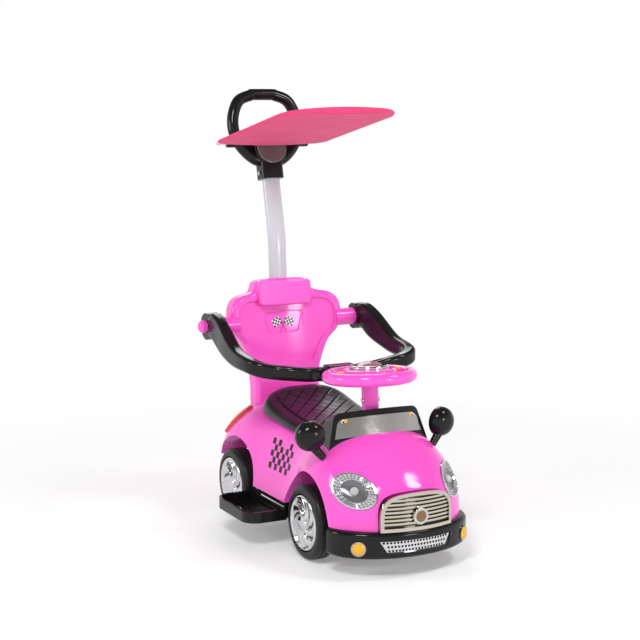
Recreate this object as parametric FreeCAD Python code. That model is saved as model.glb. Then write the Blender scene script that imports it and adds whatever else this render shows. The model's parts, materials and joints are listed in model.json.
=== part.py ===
import FreeCAD, Part
import os
from math import cos, pi, radians, sin, sqrt, tan

V = FreeCAD.Vector
ORIGIN, X_AXIS, Y_AXIS, Z_AXIS = V(0, 0, 0), V(1, 0, 0), V(0, 1, 0), V(0, 0, 1)

# Lengths in millimetres. The floor is z = 0, the nose points to -y, the car's right side is -x.
fit_gap = 0.3
running_clearance = 0.05
slide_gap = 1.0
big = 1000.0
parallel_share = 0.99

# Wheels and axles.
wheel_radius = 77.0
wheel_width = 44.0
wheel_track = 270.0
wheelbase = 363.0
front_axle_y = -166.0
axle_radius = 5.0
axle_tip = 3.0
axle_cap_radius = 9.0
axle_cap_depth = 2.2
tyre_shoulder = 11.0
tyre_wall = 17.0
tread_groove = 2.0
wheel_web = 6.0
wheel_hub_radius = 15.0
hubcap_sink = 6.0
hubcap_dome = 5.0
hubcap_middle_shares = (0.72, 0.55)
hubcap_wall = 2.5
hubcap_spokes = 5
window_reach_shares = (0.36, 0.86)
window_half_angles = (10.0, 25.0)
window_corner = 4.0
tread_groove_shares = (0.36, 0.64)
rear_axle_y = front_axle_y + wheelbase
axle_z = wheel_radius
wheel_inner_x = wheel_track / 2 - wheel_width / 2
rim_radius = wheel_radius - tyre_wall
hub_face = wheel_width - hubcap_sink
arch_gap = 28.0
arch_radius = wheel_radius + arch_gap

# Body shell.
nose_y = -362.0
body_length = 682.0
body_half_width = 157.0
body_height = 172.0
body_wall = 4.0
sill_z = 93.0
foot_drop = 40.0
tail_lip_z = 122.0
tail_lip_y = 250.0
liner_inner_x = 82.0

# Shares of the length, half width and height, then corner exponent and lean of the flank.
body_station_shares = (
    (0.000, 0.290, 0.380, 3.0, 0.00),
    (0.010, 0.410, 0.453, 2.7, 0.00),
    (0.026, 0.540, 0.523, 2.5, 0.00),
    (0.050, 0.690, 0.610, 2.4, 0.00),
    (0.084, 0.841, 0.715, 2.3, 0.00),
    (0.128, 0.949, 0.830, 2.4, 0.00),
    (0.186, 0.994, 0.945, 2.6, 0.00),
    (0.252, 1.000, 0.990, 2.8, 0.00),
    (0.326, 0.987, 0.935, 3.2, 0.06),
    (0.399, 0.962, 0.815, 5.0, 0.19),
    (0.472, 0.949, 0.811, 7.0, 0.26),
    (0.560, 0.949, 0.843, 8.0, 0.27),
    (0.648, 0.955, 0.875, 7.0, 0.25),
    (0.721, 0.968, 0.910, 5.0, 0.19),
    (0.795, 0.981, 0.960, 3.4, 0.11),
    (0.861, 0.987, 0.945, 2.8, 0.05),
    (0.915, 0.968, 0.845, 2.6, 0.00),
    (0.956, 0.911, 0.680, 2.5, 0.00),
    (0.985, 0.800, 0.500, 2.5, 0.00),
    (1.000, 0.660, 0.380, 2.7, 0.00),
)
section_turn_shares = (0.0, 0.10, 0.22, 0.35, 0.48, 0.61, 0.74, 0.87, 1.0)

# Chassis pan with the keel under it.
tub_half_width = 144.0
tub_floor = 4.0
tub_floor_z = 82.0
tub_wall = 3.0
keel_half_width = 76.0
keel_floor_z = 52.0
keel_floor = 4.0
keel_front_y = -335.0
keel_rear_y = 300.0
keel_wall = 4.0
bearing_thickness = 14.0
bearing_height = 14.0
screw_radius = 2.0
screw_head_radius = 4.5
screw_head = 2.4
screw_length = 22.0
post_radius = 6.0
post_height = 92.0
post_x = 126.0
post_inset = 12.0
arch_end = sqrt(arch_radius**2 - (sill_z - axle_z) ** 2)
tub_front_y = front_axle_y + arch_end + tub_wall
tub_rear_y = rear_axle_y - arch_end - tub_wall
keel_top_z = keel_floor_z + keel_floor
tub_deck_z = tub_floor_z + tub_floor

# Footboards that slide in under the pan.
board_outer_x = 235.0
board_root_x = 145.0
board_front_y = -66.0
board_rear_y = 111.0
board_low_z = 56.5
board_top_z = 80.0
board_skin = 4.0
board_rim = 5.0
board_corner = 34.0
tongue_inner_x = 24.0
board_ribs = 5
rib_width = 5.0
rib_height = 3.0

# Steering.
steer_y = -162.0
steer_z = 369.0
steer_tilt = 4.0
rim_major = 86.0
rim_minor = 13.0
dish_low = 7.0
dish_thick = 5.0
hub_radius = 58.0
hub_top = 15.0
hub_round = 9.0
hub_wall = 4.0
sleeve_radius = 17.5
sleeve_bottom_z = 276.0
rod_bottom_z = 88.0
cross_bolt_z = 319.0
cross_bolt_radius = 3.0
cross_bolt_head = 4.5
bezel_outer = 41.0
bezel_inner = 27.0
bezel_height = 8.0
dome_height = 7.0
dome_lift = 3.0
button_x = 67.0
button_radius = 7.0
button_round = 1.7
pod_wall = 2.5
pod_height = 10.0
button_height = 7.0
button_sink = 3.0
cover_thick = 2.5
cell_radius = 5.2
cell_length = 44.0
cell_x = 31.0
board_thick = 1.6
board_wide = 34.0
board_deep = 14.0
speaker_radius = 11.0
speaker_height = 6.0

# Front axle and steering linkage.
kingpin_inset = 25.0
kingpin_radius = 5.0
kingpin_head = 8.0
kingpin_head_height = 4.0
beam_plate = 4.0
beam_gap = 34.0
beam_front = 25.0
beam_rear = 18.0
beam_overhang = 13.0
knuckle_radius = 11.0
stub_shoulder_radius = 9.0
arm_length = 40.0
arm_width = 12.0
arm_thick = 8.0
link_pin_radius = 3.0
link_slack_x = 1.3
link_slack_y = 4.6
tie_half_width = 11.0
tie_thick = 4.0
tie_overhang = 10.0
link_gap = 2.0
crank_width = 14.0
crank_thick = 4.0
kingpin_x = wheel_inner_x - kingpin_inset
beam_low_z = keel_top_z
knuckle_low_z = beam_low_z + beam_plate + fit_gap
beam_high_z = beam_low_z + beam_plate + beam_gap
knuckle_high_z = beam_high_z - fit_gap
arm_top_z = axle_z + stub_shoulder_radius
tie_low_z = arm_top_z + link_gap
tie_top_z = tie_low_z + tie_thick
crank_low_z = beam_high_z + beam_plate + link_gap
tie_y = front_axle_y - arm_length
crank_y = steer_y - (steer_z - crank_low_z) * tan(radians(steer_tilt))
crank_length = crank_y - tie_y

# Front bumper with its mesh, fog lamps and the grille above.
bumper_low_z = 41.0
bumper_top_z = 95.0
bumper_depth = 24.0
bumper_proud = 11.0
bumper_round = 9.0
bumper_end_y = -272.0
bumper_point_shares = ((0.0, 0.0), (0.32, 0.045), (0.55, 0.16), (0.78, 0.37), (0.94, 0.66), (1.0, 1.0))
mesh_top_half = 84.0
mesh_bottom_half = 68.0
mesh_low_z = 54.0
mesh_high_z = 78.0
mesh_thick = 2.0
mesh_recess = 6.0
mesh_hole = 2.4
mesh_pitch = 7.0
fog_x = 120.0
fog_z = 64.0
fog_radius = 15.0
fog_bezel = 3.0
fog_turn = 33.0
fog_depth = 14.0
fog_dome = 4.0
grille_bow = 230.0
grille_thick = 9.0
grille_depth = 26.0
grille_half_width = 81.0
grille_top_z = 172.0
grille_frame = 7.0
grille_slats = 7
slat_thick = 4.0
slat_sink = 3.0
badge_radius = 17.0
badge_z = 124.0
badge_thick = 4.0
grille_outline_shares = (
    (1.0, 0.0), (1.0, 0.30), (0.975, 0.58), (0.86, 0.81), (0.60, 0.945), (0.30, 0.99), (0.0, 1.0),
)

# Lamps set in the skin.
headlight_x = 111.0
headlight_y = -302.0
headlight_z = 171.0
headlight_turn = 37.0
headlight_rise = 22.0
headlight_roll = 24.0
headlight_long = 51.0
headlight_short = 34.0
reflector_depth = 14.0
reflector_wall = 3.0
lens_proud = 6.0
lens_thick = 3.0
tail_light_x = 118.0
tail_light_y = 256.0
tail_light_z = 214.0
tail_light_turn = 148.0
tail_light_rise = 32.0
tail_light_long = 48.0
tail_light_short = 16.0
tail_light_proud = 7.0

# Windscreen.
screen_y = -228.0
screen_z = 236.0
screen_lean = 19.0
screen_bow = 290.0
screen_depth = 38.0
screen_plate = 9.0
screen_wall = 7.0
screen_height = 76.0
screen_base_half = 117.0
screen_top_half = 96.0
screen_round = 16.0
screen_sink = 60.0
screen_column_gap = 3.0
pane_margin = 13.0
pane_side = 9.0
pane_thick = 1.6
pane_low = 24.0

# Mirrors.
mirror_x = 154.0
mirror_y = -195.0
mirror_z = 264.0
mirror_radius = 31.0
mirror_nose = 24.0
mirror_rim = 6.0
mirror_glass_thick = 1.5
mirror_glass_sink = 2.0
mirror_turn = 14.0
stalk_foot_x = 128.0
stalk_foot_y = -203.0
stalk_foot_z = 219.0
stalk_radius = 8.0
stalk_top_radius = 10.0

# Seat lid.
seat_front_y = -112.0
seat_front_z = 223.5
seat_pitch = 5.1
seat_length = 277.0
seat_half_width = 106.0
seat_rear_height = 47.0
seat_recess_gap = 1.5
seat_opening_half = 84.0
seat_opening_front = 34.0
seat_opening_rear = 262.0
seat_opening_corner = 22.0
seat_wall = 5.0
seat_front_room = 11.0
hinge_x = 40.0
hinge_y = -5.0
hinge_z = -10.0
hinge_half = 10.0
hinge_side = 4.0
hinge_reach = 7.0
hinge_radius = 6.0
hinge_pin_radius = 3.0
hinge_lug_rear = seat_wall + hinge_radius

# Shares along the seat, of its half width and of its rear height, then the corner exponent.
seat_station_shares = (
    (0.00, 0.58, 0.34, 3.2),
    (0.03, 0.72, 0.42, 3.2),
    (0.10, 0.82, 0.47, 3.2),
    (0.25, 0.92, 0.50, 3.2),
    (0.45, 0.99, 0.53, 3.2),
    (0.65, 1.00, 0.60, 3.1),
    (0.82, 1.00, 0.78, 3.0),
    (0.92, 0.96, 0.95, 2.9),
    (0.97, 0.88, 1.00, 2.9),
    (1.00, 0.76, 0.98, 2.9),
)

# Backrest.
back_y = 217.0
back_z = 200.0
back_lean = 6.5
back_depth = 40.0
back_height = 331.0
back_half_width = 138.0
back_round = 11.0
back_wall = 4.0
back_recess = 5.0
back_foot = 12.0
back_bow = 350.0
spine_half = 36.0
spine_depth = 30.0
spine_round = 13.0
headrest_half = 66.0
headrest_low = 268.0
headrest_high = 326.0
headrest_proud = 16.0
headrest_round = 11.0
plaque_top_half = 48.0
plaque_low_half = 36.0
plaque_low = 206.0
plaque_high = 254.0
plaque_sink = 4.0
plaque_corner = 8.0
back_outline_shares = (
    (0.590, 0.000), (0.590, 0.200), (0.595, 0.330), (0.640, 0.410), (0.720, 0.500), (0.800, 0.565),
    (0.925, 0.622), (0.990, 0.690), (1.000, 0.755), (0.960, 0.835), (0.820, 0.885), (0.640, 0.903),
    (0.535, 0.922), (0.490, 0.965), (0.400, 0.991), (0.220, 0.999), (0.000, 1.000),
)
recess_outline_shares = (
    (0.480, 0.420), (0.560, 0.500), (0.690, 0.585), (0.830, 0.640), (0.870, 0.720), (0.850, 0.790),
    (0.720, 0.842), (0.500, 0.852), (0.000, 0.852),
)

# Guard rail.
pivot_y = 232.0
pivot_z = 432.0
pivot_radius = 20.0
pivot_bolt_radius = 5.0
ear_inner_x = 122.0
ear_outer_x = 171.0
bolt_inner_x = 140.0
rail_x = 186.0
rail_thick = 27.0
rail_corner = 8.0
corner_limit_share = 0.98
rail_front_y = -28.0
rail_low_drop = 80.0
knob_radius = 14.0
knob_round = 11.0
knob_length = 17.0
clasp_proud = 5.0

# Shares of the rail's half width, of its reach from pivot to front and of its drop,
# then of half the height at the pivot.
rail_station_shares = (
    (1.000, 0.060, 0.000, 0.93),
    (1.010, 0.130, -0.040, 1.00),
    (1.030, 0.370, 0.280, 1.02),
    (1.040, 0.520, 0.480, 0.80),
    (1.045, 0.660, 0.600, 0.64),
    (1.035, 0.840, 0.660, 0.56),
    (0.990, 0.930, 0.720, 0.54),
    (0.900, 0.970, 0.780, 0.53),
    (0.740, 0.985, 0.850, 0.52),
    (0.550, 0.991, 0.915, 0.51),
    (0.355, 0.996, 0.965, 0.50),
    (0.160, 1.000, 1.000, 0.49),
)
rail_pivot_half = 30.0

# Push pole and handle.
pole_half_wide = 21.5
pole_half_deep = 15.0
pole_wall = 1.6
pole_low_z = 64.0
pole_low_y = 253.0
pole_bend_z = 618.0
pole_bend_y = 281.5
pole_bend_radius = 300.0
handle_y = 313.0
handle_z = 751.0
handle_tilt = 12.8
handle_length = 212.0
handle_half_width = 95.0
handle_tube = 13.5
socket_half_wide = 27.0
socket_half_deep = 20.0
socket_round = 8.0
boss_radius = 41.0
boss_round = 4.0
socket_bolt_radius = 2.5
handle_insert = 55.0
bowl_half_depth = 9.0
seam_turn = 45.0
ring_path_shares = (
    (0.000, 0.185), (0.330, 0.215), (0.610, 0.315), (0.800, 0.445), (0.858, 0.570), (0.840, 0.680),
    (0.750, 0.795), (0.570, 0.888), (0.310, 0.929), (0.000, 0.936),
)
bowl_outline_shares = (
    (0.000, 0.170), (0.330, 0.200), (0.610, 0.300), (0.790, 0.420), (0.780, 0.480), (0.500, 0.470),
    (0.000, 0.465),
)
disc_radius = 36.0
disc_height = 70.0
disc_thick = 5.0
socket_bolt_height = 14.0

# Canopy.
clip_y = 331.0
clip_z = 833.0
clip_radius = 9.0
clip_round = 3.0
clip_inner_x = 76.0
clip_outer_x = 103.0
canopy_rise = 11.0
wire_radius = 3.0
wire_corner_x = 132.0
wire_front_x = 130.0
wire_length = 402.0
wire_rear_corner = 16.0
wire_front_corner = 58.0
cover_edge = 5.0
cover_crown = 10.0
cover_sag = 6.0
cover_rear = 32.0
cover_thick_wall = 1.2
cover_nose_share = 0.8
cover_station_shares = (
    (0.00, 1.00, 0.55), (0.08, 1.00, 0.75), (0.25, 1.00, 0.95), (0.50, 1.00, 1.00), (0.70, 1.00, 0.95),
    (0.80, 1.00, 0.85), (0.88, 0.98, 0.72), (0.94, 0.887, 0.55), (0.98, 0.745, 0.38), (1.00, 0.55, 0.22),
)


def mirrored(shape):
    return shape.mirror(ORIGIN, X_AXIS)


def both_sides(shape):
    return Part.makeCompound([shape, mirrored(shape)])


def box(low, high):
    return Part.makeBox(high.x - low.x, high.y - low.y, high.z - low.z, low)


def wide_box(half, low_y, high_y, low_z, high_z):
    return box(V(-half, low_y, low_z), V(half, high_y, high_z))


def rod(radius, start, end):
    return Part.makeCylinder(radius, (end - start).Length, start, end - start)


def spline(points, closed=False):
    curve = Part.BSplineCurve()
    curve.interpolate(Points=points, PeriodicFlag=closed)
    return curve.toShape()


def loft(wires):
    return Part.makeLoft(wires, True, False, False, 3)


def chord_steps(rows):
    """Mean place of each point along its row, from 0 to 1, so that all rows share their knots."""
    steps = [0.0] * len(rows[0])
    for row in rows:
        lengths = [0.0]
        for a, b in zip(row, row[1:]):
            lengths.append(lengths[-1] + (b - a).Length)
        steps = [step + length / lengths[-1] / len(rows) for step, length in zip(steps, lengths)]
    return steps


def arch_loft(half_rows):
    """A loft through symmetric arches, each given by its half from foot to crown, with a straight base."""
    rows = [half + [V(-p.x, p.y, p.z) for p in reversed(half[:-1])] for half in half_rows]
    steps = chord_steps(rows)
    wires = []
    for row in rows:
        curve = Part.BSplineCurve()
        curve.interpolate(Points=row, Parameters=steps)
        wires.append(Part.Wire([curve.toShape(), Part.makeLine(row[-1], row[0])]))
    return loft(wires)


def edges_along(shape, axis):
    straight = [e for e in shape.Edges if e.Curve.TypeId == "Part::GeomLine"]
    return [e for e in straight if abs(e.Curve.Direction.dot(axis)) > parallel_share]


def rims_above(shape, z):
    return [e for e in shape.Edges if e.Closed and e.BoundBox.ZMin > z]


def rims_beyond(shape, x):
    return [e for e in shape.Edges if e.Closed and e.BoundBox.XMin > x]


def rounded_along(shape, axis, radius):
    return shape.makeFillet(radius, edges_along(shape, axis))


def pitched(shape, pitch, at):
    """The shape turned about x through the origin, then moved to its place."""
    moved = shape.copy()
    moved.rotate(ORIGIN, X_AXIS, pitch)
    moved.translate(at)
    return moved


def prism(half_points, low_y, high_y):
    """A closed symmetric outline, given by its half from foot to crown, extruded along y."""
    right = [V(x, low_y, z) for x, z in half_points]
    left = [V(-x, low_y, z) for x, z in reversed(half_points) if x > 0]
    outline = [spline(right + left, closed=right[0].x == 0)]
    if right[0].x > 0:
        outline.append(Part.makeLine(left[-1], right[0]))
    return Part.Face(Part.Wire(outline)).extrude(V(0, high_y - low_y, 0))


def polygon_prism(points, low_y, high_y):
    corners = [V(x, low_y, z) for x, z in points]
    return Part.Face(Part.makePolygon(corners + corners[:1])).extrude(V(0, high_y - low_y, 0))


def scaled(shares, wide, low, high):
    return [(x_share * wide, low + z_share * (high - low)) for x_share, z_share in shares]


# Body skin.
def body_rows():
    """Half sections of the outer skin, each from the foot of the flank to the crown."""
    rows = []
    for along_share, width_share, top_share, exponent, lean in body_station_shares:
        y = nose_y + along_share * body_length
        half, rise = width_share * body_half_width, top_share * body_height
        row = [V(half, y, sill_z - foot_drop), V(half, y, sill_z - foot_drop / 2)]
        for turn_share in section_turn_shares:
            out = cos(turn_share * pi / 2) ** (2 / exponent) if turn_share < 1 else 0
            climb = sin(turn_share * pi / 2) ** (2 / exponent)
            row.append(V(half * out * (1 - lean * climb), y, sill_z + rise * climb))
        rows.append(row)
    return rows


def grown_row(rows, i, growth):
    """Row i moved outward along the skin's normal; the two end rows stay flat."""
    row = rows[i]
    last = len(rows) - 1
    grown = []
    for j, point in enumerate(row):
        after = row[j + 1] if j + 1 < len(row) else V(-row[j - 1].x, row[j - 1].y, row[j - 1].z)
        before = row[j - 1] if j > 0 else point
        across = after - before
        if i in (0, last):
            step = Y_AXIS * (growth if i else -growth)
            grown.append(point + Y_AXIS.cross(across).normalize() * growth + step)
        else:
            along = rows[i + 1][j] - rows[i - 1][j]
            grown.append(point + along.cross(across).normalize() * growth)
    return grown


def body_solid(growth):
    """The body as a solid block, its skin moved out by growth."""
    rows = body_rows()
    return arch_loft([grown_row(rows, i, growth) for i in range(len(rows))])


def aimed(shape, turn, rise, roll, at):
    """A shape drawn along -y turned outward about z, raised, and moved to its place."""
    moved = shape.copy()
    moved.rotate(ORIGIN, Y_AXIS, roll)
    moved.rotate(ORIGIN, X_AXIS, -rise)
    moved.rotate(ORIGIN, Z_AXIS, turn)
    moved.translate(at)
    return moved


def oval_prism(long_half, short_half, low_y, high_y):
    curve = Part.Ellipse(V(0, 0, 0), max(long_half, short_half), min(long_half, short_half)).toShape()
    face = Part.Face(Part.Wire(curve))
    face.rotate(ORIGIN, X_AXIS, 90)
    if short_half > long_half:
        face.rotate(ORIGIN, Y_AXIS, 90)
    face.translate(V(0, low_y, 0))
    return face.extrude(V(0, high_y - low_y, 0))


def headlight_tool(inset):
    tool = oval_prism(headlight_long - inset, headlight_short - inset, -headlight_long, headlight_long)
    place = V(headlight_x, headlight_y, headlight_z)
    return aimed(tool, headlight_turn, headlight_rise, -headlight_roll, place)


def tail_light_tool(inset):
    tool = oval_prism(tail_light_short - inset, tail_light_long - inset, -tail_light_long, tail_light_long)
    return aimed(tool, tail_light_turn, tail_light_rise, 0, V(tail_light_x, tail_light_y, tail_light_z))


def column_place(shape):
    return pitched(shape, -steer_tilt, V(0, steer_y, steer_z))


def along_column(z):
    """Distance along the column's axis from the steering wheel's centre to the height z."""
    return (z - steer_z) / cos(radians(steer_tilt))


def seat_place(shape):
    return pitched(shape, seat_pitch, V(0, seat_front_y, seat_front_z))


def seat_block(gap, front_room):
    rows = []
    for along_share, width_share, height_share, exponent in seat_station_shares:
        y = along_share * seat_length + (gap if along_share > 0.5 else -gap - front_room)
        half, rise = width_share * seat_half_width + gap, height_share * seat_rear_height + gap
        row = []
        for turn_share in section_turn_shares:
            out = cos(turn_share * pi / 2) ** (2 / exponent) if turn_share < 1 else 0
            row.append(V(half * out, y, rise * sin(turn_share * pi / 2) ** (2 / exponent)))
        rows.append(row)
    return arch_loft(rows)


def seat_hinge_boxes(half_wide, low_y, high_y, low_z, high_z):
    """A box at each seat hinge, sized about the hinge's middle."""
    right = box(V(hinge_x - half_wide, low_y, low_z), V(hinge_x + half_wide, high_y, high_z))
    return [right, mirrored(right)]


def seat_ears():
    half = hinge_half + hinge_side + fit_gap
    low_y, high_y = hinge_y - hinge_reach, hinge_y + hinge_reach
    ears = seat_hinge_boxes(half, low_y, high_y, hinge_z - hinge_reach, -fit_gap)
    slots = seat_hinge_boxes(hinge_half + fit_gap, low_y, high_y, -big, big)
    pin = rod(hinge_pin_radius, V(-big, hinge_y, hinge_z), V(big, hinge_y, hinge_z))
    return Part.makeCompound(ears).cut(slots + [pin])


def pole_path():
    low = V(0, pole_low_y, pole_low_z)
    bend = V(0, pole_bend_y, pole_bend_z)
    up = V(0, sin(radians(handle_tilt)), cos(radians(handle_tilt)))
    top = V(0, handle_y, handle_z) + up * handle_insert
    corner_reach = pole_bend_radius * tan((bend - low).getAngle(top - bend) / 2)
    start = bend - (bend - low).normalize() * corner_reach
    end = bend + (top - bend).normalize() * corner_reach
    inward = ((start - bend).normalize() + (end - bend).normalize()).normalize()
    to_centre = sqrt(corner_reach**2 + pole_bend_radius**2)
    middle = bend + inward * (to_centre - pole_bend_radius)
    arc = Part.Arc(start, middle, end).toShape()
    return Part.Wire([Part.makeLine(low, start), arc, Part.makeLine(end, top)])


def pole_solid(growth):
    path = pole_path()
    first = path.Edges[0]
    ring = Part.Wire(Part.Ellipse(ORIGIN, pole_half_wide + growth, pole_half_deep + growth).toShape())
    ring.rotate(ORIGIN, X_AXIS, -first.tangentAt(first.FirstParameter).getAngle(Z_AXIS) * 180 / pi)
    ring.translate(first.valueAt(first.FirstParameter))
    return path.makePipeShell([ring], True, False)


def body_posts():
    """Where the four posts stand that the pan is screwed to."""
    places = []
    for y in (tub_front_y + post_inset, tub_rear_y - post_inset):
        places += [V(post_x, y, tub_deck_z), V(-post_x, y, tub_deck_z)]
    return places


def arch_liners():
    """Cylinders over the wheels, out to the back of the arch walls, left out between the wheels."""
    liners = []
    for y in (front_axle_y, rear_axle_y):
        right = rod(arch_radius + body_wall, V(liner_inner_x, y, axle_z), V(big, y, axle_z))
        liners += [right, mirrored(right)]
    return liners


def body_shell(skin, pole_hole):
    well = seat_block(seat_recess_gap + body_wall, seat_front_room)
    well.translate(V(0, 0, -body_wall))
    posts = [rod(post_radius, foot, foot + V(0, 0, post_height)) for foot in body_posts()]
    room = body_solid(-body_wall).cut([seat_place(well)] + posts + arch_liners())
    below = wide_box(big, -big, big, -big, sill_z)
    cuts = [below.cut(Part.makeCompound(posts))]
    cuts += [rod(arch_radius, V(-big, y, axle_z), V(big, y, axle_z)) for y in (front_axle_y, rear_axle_y)]
    cuts.append(wide_box(big, -big, front_axle_y, -big, bumper_top_z))
    cuts.append(wide_box(big, tail_lip_y, big, -big, tail_lip_z))
    cuts.append(seat_place(seat_block(seat_recess_gap, seat_front_room)))
    opening = wide_box(seat_opening_half, seat_opening_front, seat_opening_rear, -foot_drop, foot_drop)
    cuts.append(seat_place(rounded_along(opening, Z_AXIS, seat_opening_corner)))
    slot_front, slot_rear = hinge_y - hinge_reach - seat_front_room, hinge_lug_rear + seat_recess_gap
    slots = seat_hinge_boxes(hinge_half + fit_gap, slot_front, slot_rear, -foot_drop, foot_drop)
    cuts += [seat_place(slot) for slot in slots]
    cuts += [headlight_tool(0), mirrored(headlight_tool(0))]
    cuts.append(column_place(rod(axle_radius + slide_gap, V(0, 0, -steer_z), ORIGIN)))
    cuts += [pole_hole, back_socket(), grille_hole()]
    cuts += [rod(screw_radius, foot, foot + V(0, 0, screw_length)) for foot in body_posts()]
    return skin.cut([room] + cuts).fuse(seat_place(seat_ears()))


def chassis_base(pole_hole):
    pan = wide_box(tub_half_width, tub_front_y, tub_rear_y, tub_floor_z, sill_z)
    hollow_half, hollow_rear = tub_half_width - tub_wall, tub_rear_y - tub_wall
    hollow = wide_box(hollow_half, tub_front_y + tub_wall, hollow_rear, tub_deck_z, big)
    keel = wide_box(keel_half_width, keel_front_y, keel_rear_y, keel_floor_z, keel_top_z)
    keel = rounded_along(keel, Z_AXIS, keel_wall)
    joined = [keel]
    tongue_front_y, tongue_rear_y = tub_front_y + keel_wall, tub_rear_y - keel_wall
    for y in (tub_front_y, tongue_rear_y):
        joined.append(wide_box(keel_half_width, y, y + keel_wall, keel_floor_z, tub_floor_z + tub_floor))
    for x in (-keel_half_width, keel_half_width - bearing_thickness):
        low = V(x, rear_axle_y - bearing_height, keel_floor_z)
        high = V(x + bearing_thickness, rear_axle_y + bearing_height, axle_z + bearing_height)
        joined.append(box(low, high))
    socket = oval_prism(pole_half_wide + keel_wall, pole_half_deep + keel_wall, 0, tail_lip_z - keel_floor_z)
    socket.rotate(ORIGIN, X_AXIS, 90)
    socket.translate(V(0, pole_low_y + slide_gap, keel_floor_z))
    joined.append(socket)
    tail_top_z = tail_lip_z - slide_gap
    joined.append(wide_box(keel_half_width, keel_rear_y - keel_wall, keel_rear_y, keel_floor_z, tail_top_z))
    pan = pan.cut(hollow).fuse(joined)
    cuts = [rod(axle_radius, V(-big, rear_axle_y, axle_z), V(big, rear_axle_y, axle_z)), pole_hole]
    for place in body_posts():
        foot = V(place.x, place.y, tub_floor_z)
        cuts.append(rod(screw_radius, foot, foot + V(0, 0, tub_floor)))
        cuts.append(rod(screw_head_radius + fit_gap, foot, foot + V(0, 0, screw_head + fit_gap)))
    return pan.cut(cuts).removeSplitter()


def chassis_screws():
    screws = []
    for place in body_posts():
        foot = V(place.x, place.y, tub_floor_z + fit_gap)
        head = rod(screw_head_radius, foot, foot + V(0, 0, screw_head))
        screws.append(head.fuse(rod(screw_radius, foot, foot + V(0, 0, screw_length))))
    return Part.makeCompound(screws)


# Wheels: drawn with their axis on x, the inner face at x = 0.
def turned(outline):
    face = Part.Face(Part.Wire(outline))
    return face.revolve(ORIGIN, X_AXIS, 360)


def polyline(points):
    return [Part.makeLine(V(a[0], 0, a[1]), V(b[0], 0, b[1])) for a, b in zip(points, points[1:])]


def wheel():
    bore = axle_radius + running_clearance
    web_inner = hub_face - wheel_web
    points = [
        (0, bore), (0, wheel_hub_radius), (web_inner, wheel_hub_radius), (web_inner, rim_radius),
        (0, rim_radius), (0, wheel_radius), (wheel_width, wheel_radius), (wheel_width, rim_radius),
        (hub_face, rim_radius), (hub_face, bore), (0, bore),
    ]
    tyre = turned(polyline(points))
    tread = [e for e in tyre.Edges if e.Closed and abs(e.Curve.Radius - wheel_radius) < fit_gap]
    tyre = tyre.makeFillet(tyre_shoulder, tread)
    for share in tread_groove_shares:
        start = V(share * wheel_width, 0, 0)
        end = start + V(tread_groove, 0, 0)
        ring = rod(wheel_radius + tread_groove, start, end)
        tyre = tyre.cut(ring.cut(rod(wheel_radius - tread_groove, start, end)))
    return tyre


def window_tool():
    inner, outer = (share * rim_radius for share in window_reach_shares)
    corners = []
    for radius, angle in zip((inner, outer), window_half_angles):
        for sign in (-1, 1):
            corners.append(V(0, radius * sin(radians(sign * angle)), radius * cos(radians(angle))))
    low_left, low_right, high_left, high_right = corners
    wire = Part.Wire([
        Part.makeLine(low_left, high_left), Part.Arc(high_left, V(0, 0, outer), high_right).toShape(),
        Part.makeLine(high_right, low_right), Part.Arc(low_right, V(0, 0, inner), low_left).toShape(),
    ])
    tool = Part.Face(wire).extrude(V(2 * wheel_width, 0, 0))
    return rounded_along(tool, X_AXIS, window_corner)


def hubcap():
    edge = rim_radius - fit_gap
    top = wheel_width + hubcap_dome
    rise_share, out_share = hubcap_middle_shares
    middle = V(wheel_width + rise_share * hubcap_dome, 0, out_share * edge)
    inner_edge, shelf = edge - hubcap_wall, hub_face + hubcap_wall
    wall = V(hubcap_wall, 0, 0)
    dome = spline([V(wheel_width, 0, edge), middle, V(top, 0, 0)])
    under = spline([V(top, 0, 0) - wall, middle - wall, V(shelf, 0, inner_edge)])
    foot = [(shelf, inner_edge), (hub_face, inner_edge), (hub_face, edge), (wheel_width, edge)]
    cap = turned([dome, Part.makeLine(V(top, 0, 0), V(top - hubcap_wall, 0, 0)), under] + polyline(foot))
    tool = window_tool()
    tools = []
    for k in range(hubcap_spokes):
        copy = tool.copy()
        copy.rotate(ORIGIN, X_AXIS, k * 360 / hubcap_spokes)
        tools.append(copy)
    return cap.cut(tools)


def axle_cap():
    start = hub_face + fit_gap
    cap = rod(axle_cap_radius, V(start, 0, 0), V(start + axle_cap_depth, 0, 0))
    return cap.cut(rod(axle_radius, ORIGIN, V(big, 0, 0)))


def at_wheel(shape, y, right):
    placed = shape.copy()
    placed.translate(V(wheel_inner_x, y, axle_z))
    return mirrored(placed) if right else placed


def rear_axle():
    end = wheel_inner_x + hub_face + axle_tip
    shaft = rod(axle_radius, V(-end, rear_axle_y, axle_z), V(end, rear_axle_y, axle_z))
    start, stop = V(keel_half_width, rear_axle_y, axle_z), V(wheel_inner_x - fit_gap, rear_axle_y, axle_z)
    shoulder = rod(axle_cap_radius, start, stop)
    return shaft.fuse([shoulder, mirrored(shoulder)])


# Front axle and steering linkage.
def front_axle_beam():
    half = kingpin_x + beam_overhang
    low_y, high_y = front_axle_y - beam_front, front_axle_y + beam_rear
    top_z = beam_high_z + beam_plate
    beam = wide_box(half, low_y, high_y, beam_low_z, top_z)
    mouth = wide_box(half, low_y, high_y - beam_plate, beam_low_z + beam_plate, beam_high_z)
    side = wide_box(half, low_y, high_y, beam_low_z + beam_plate, beam_high_z)
    core = wide_box(keel_half_width, low_y, high_y, beam_low_z, top_z)
    beam = beam.cut([mouth, side.cut(core)])
    cuts = []
    for x in (-kingpin_x, kingpin_x):
        cuts.append(rod(kingpin_radius, V(x, front_axle_y, 0), V(x, front_axle_y, big)))
    cuts.append(column_place(rod(axle_radius + running_clearance, V(0, 0, -steer_z), ORIGIN)))
    return beam.cut(cuts)


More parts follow.
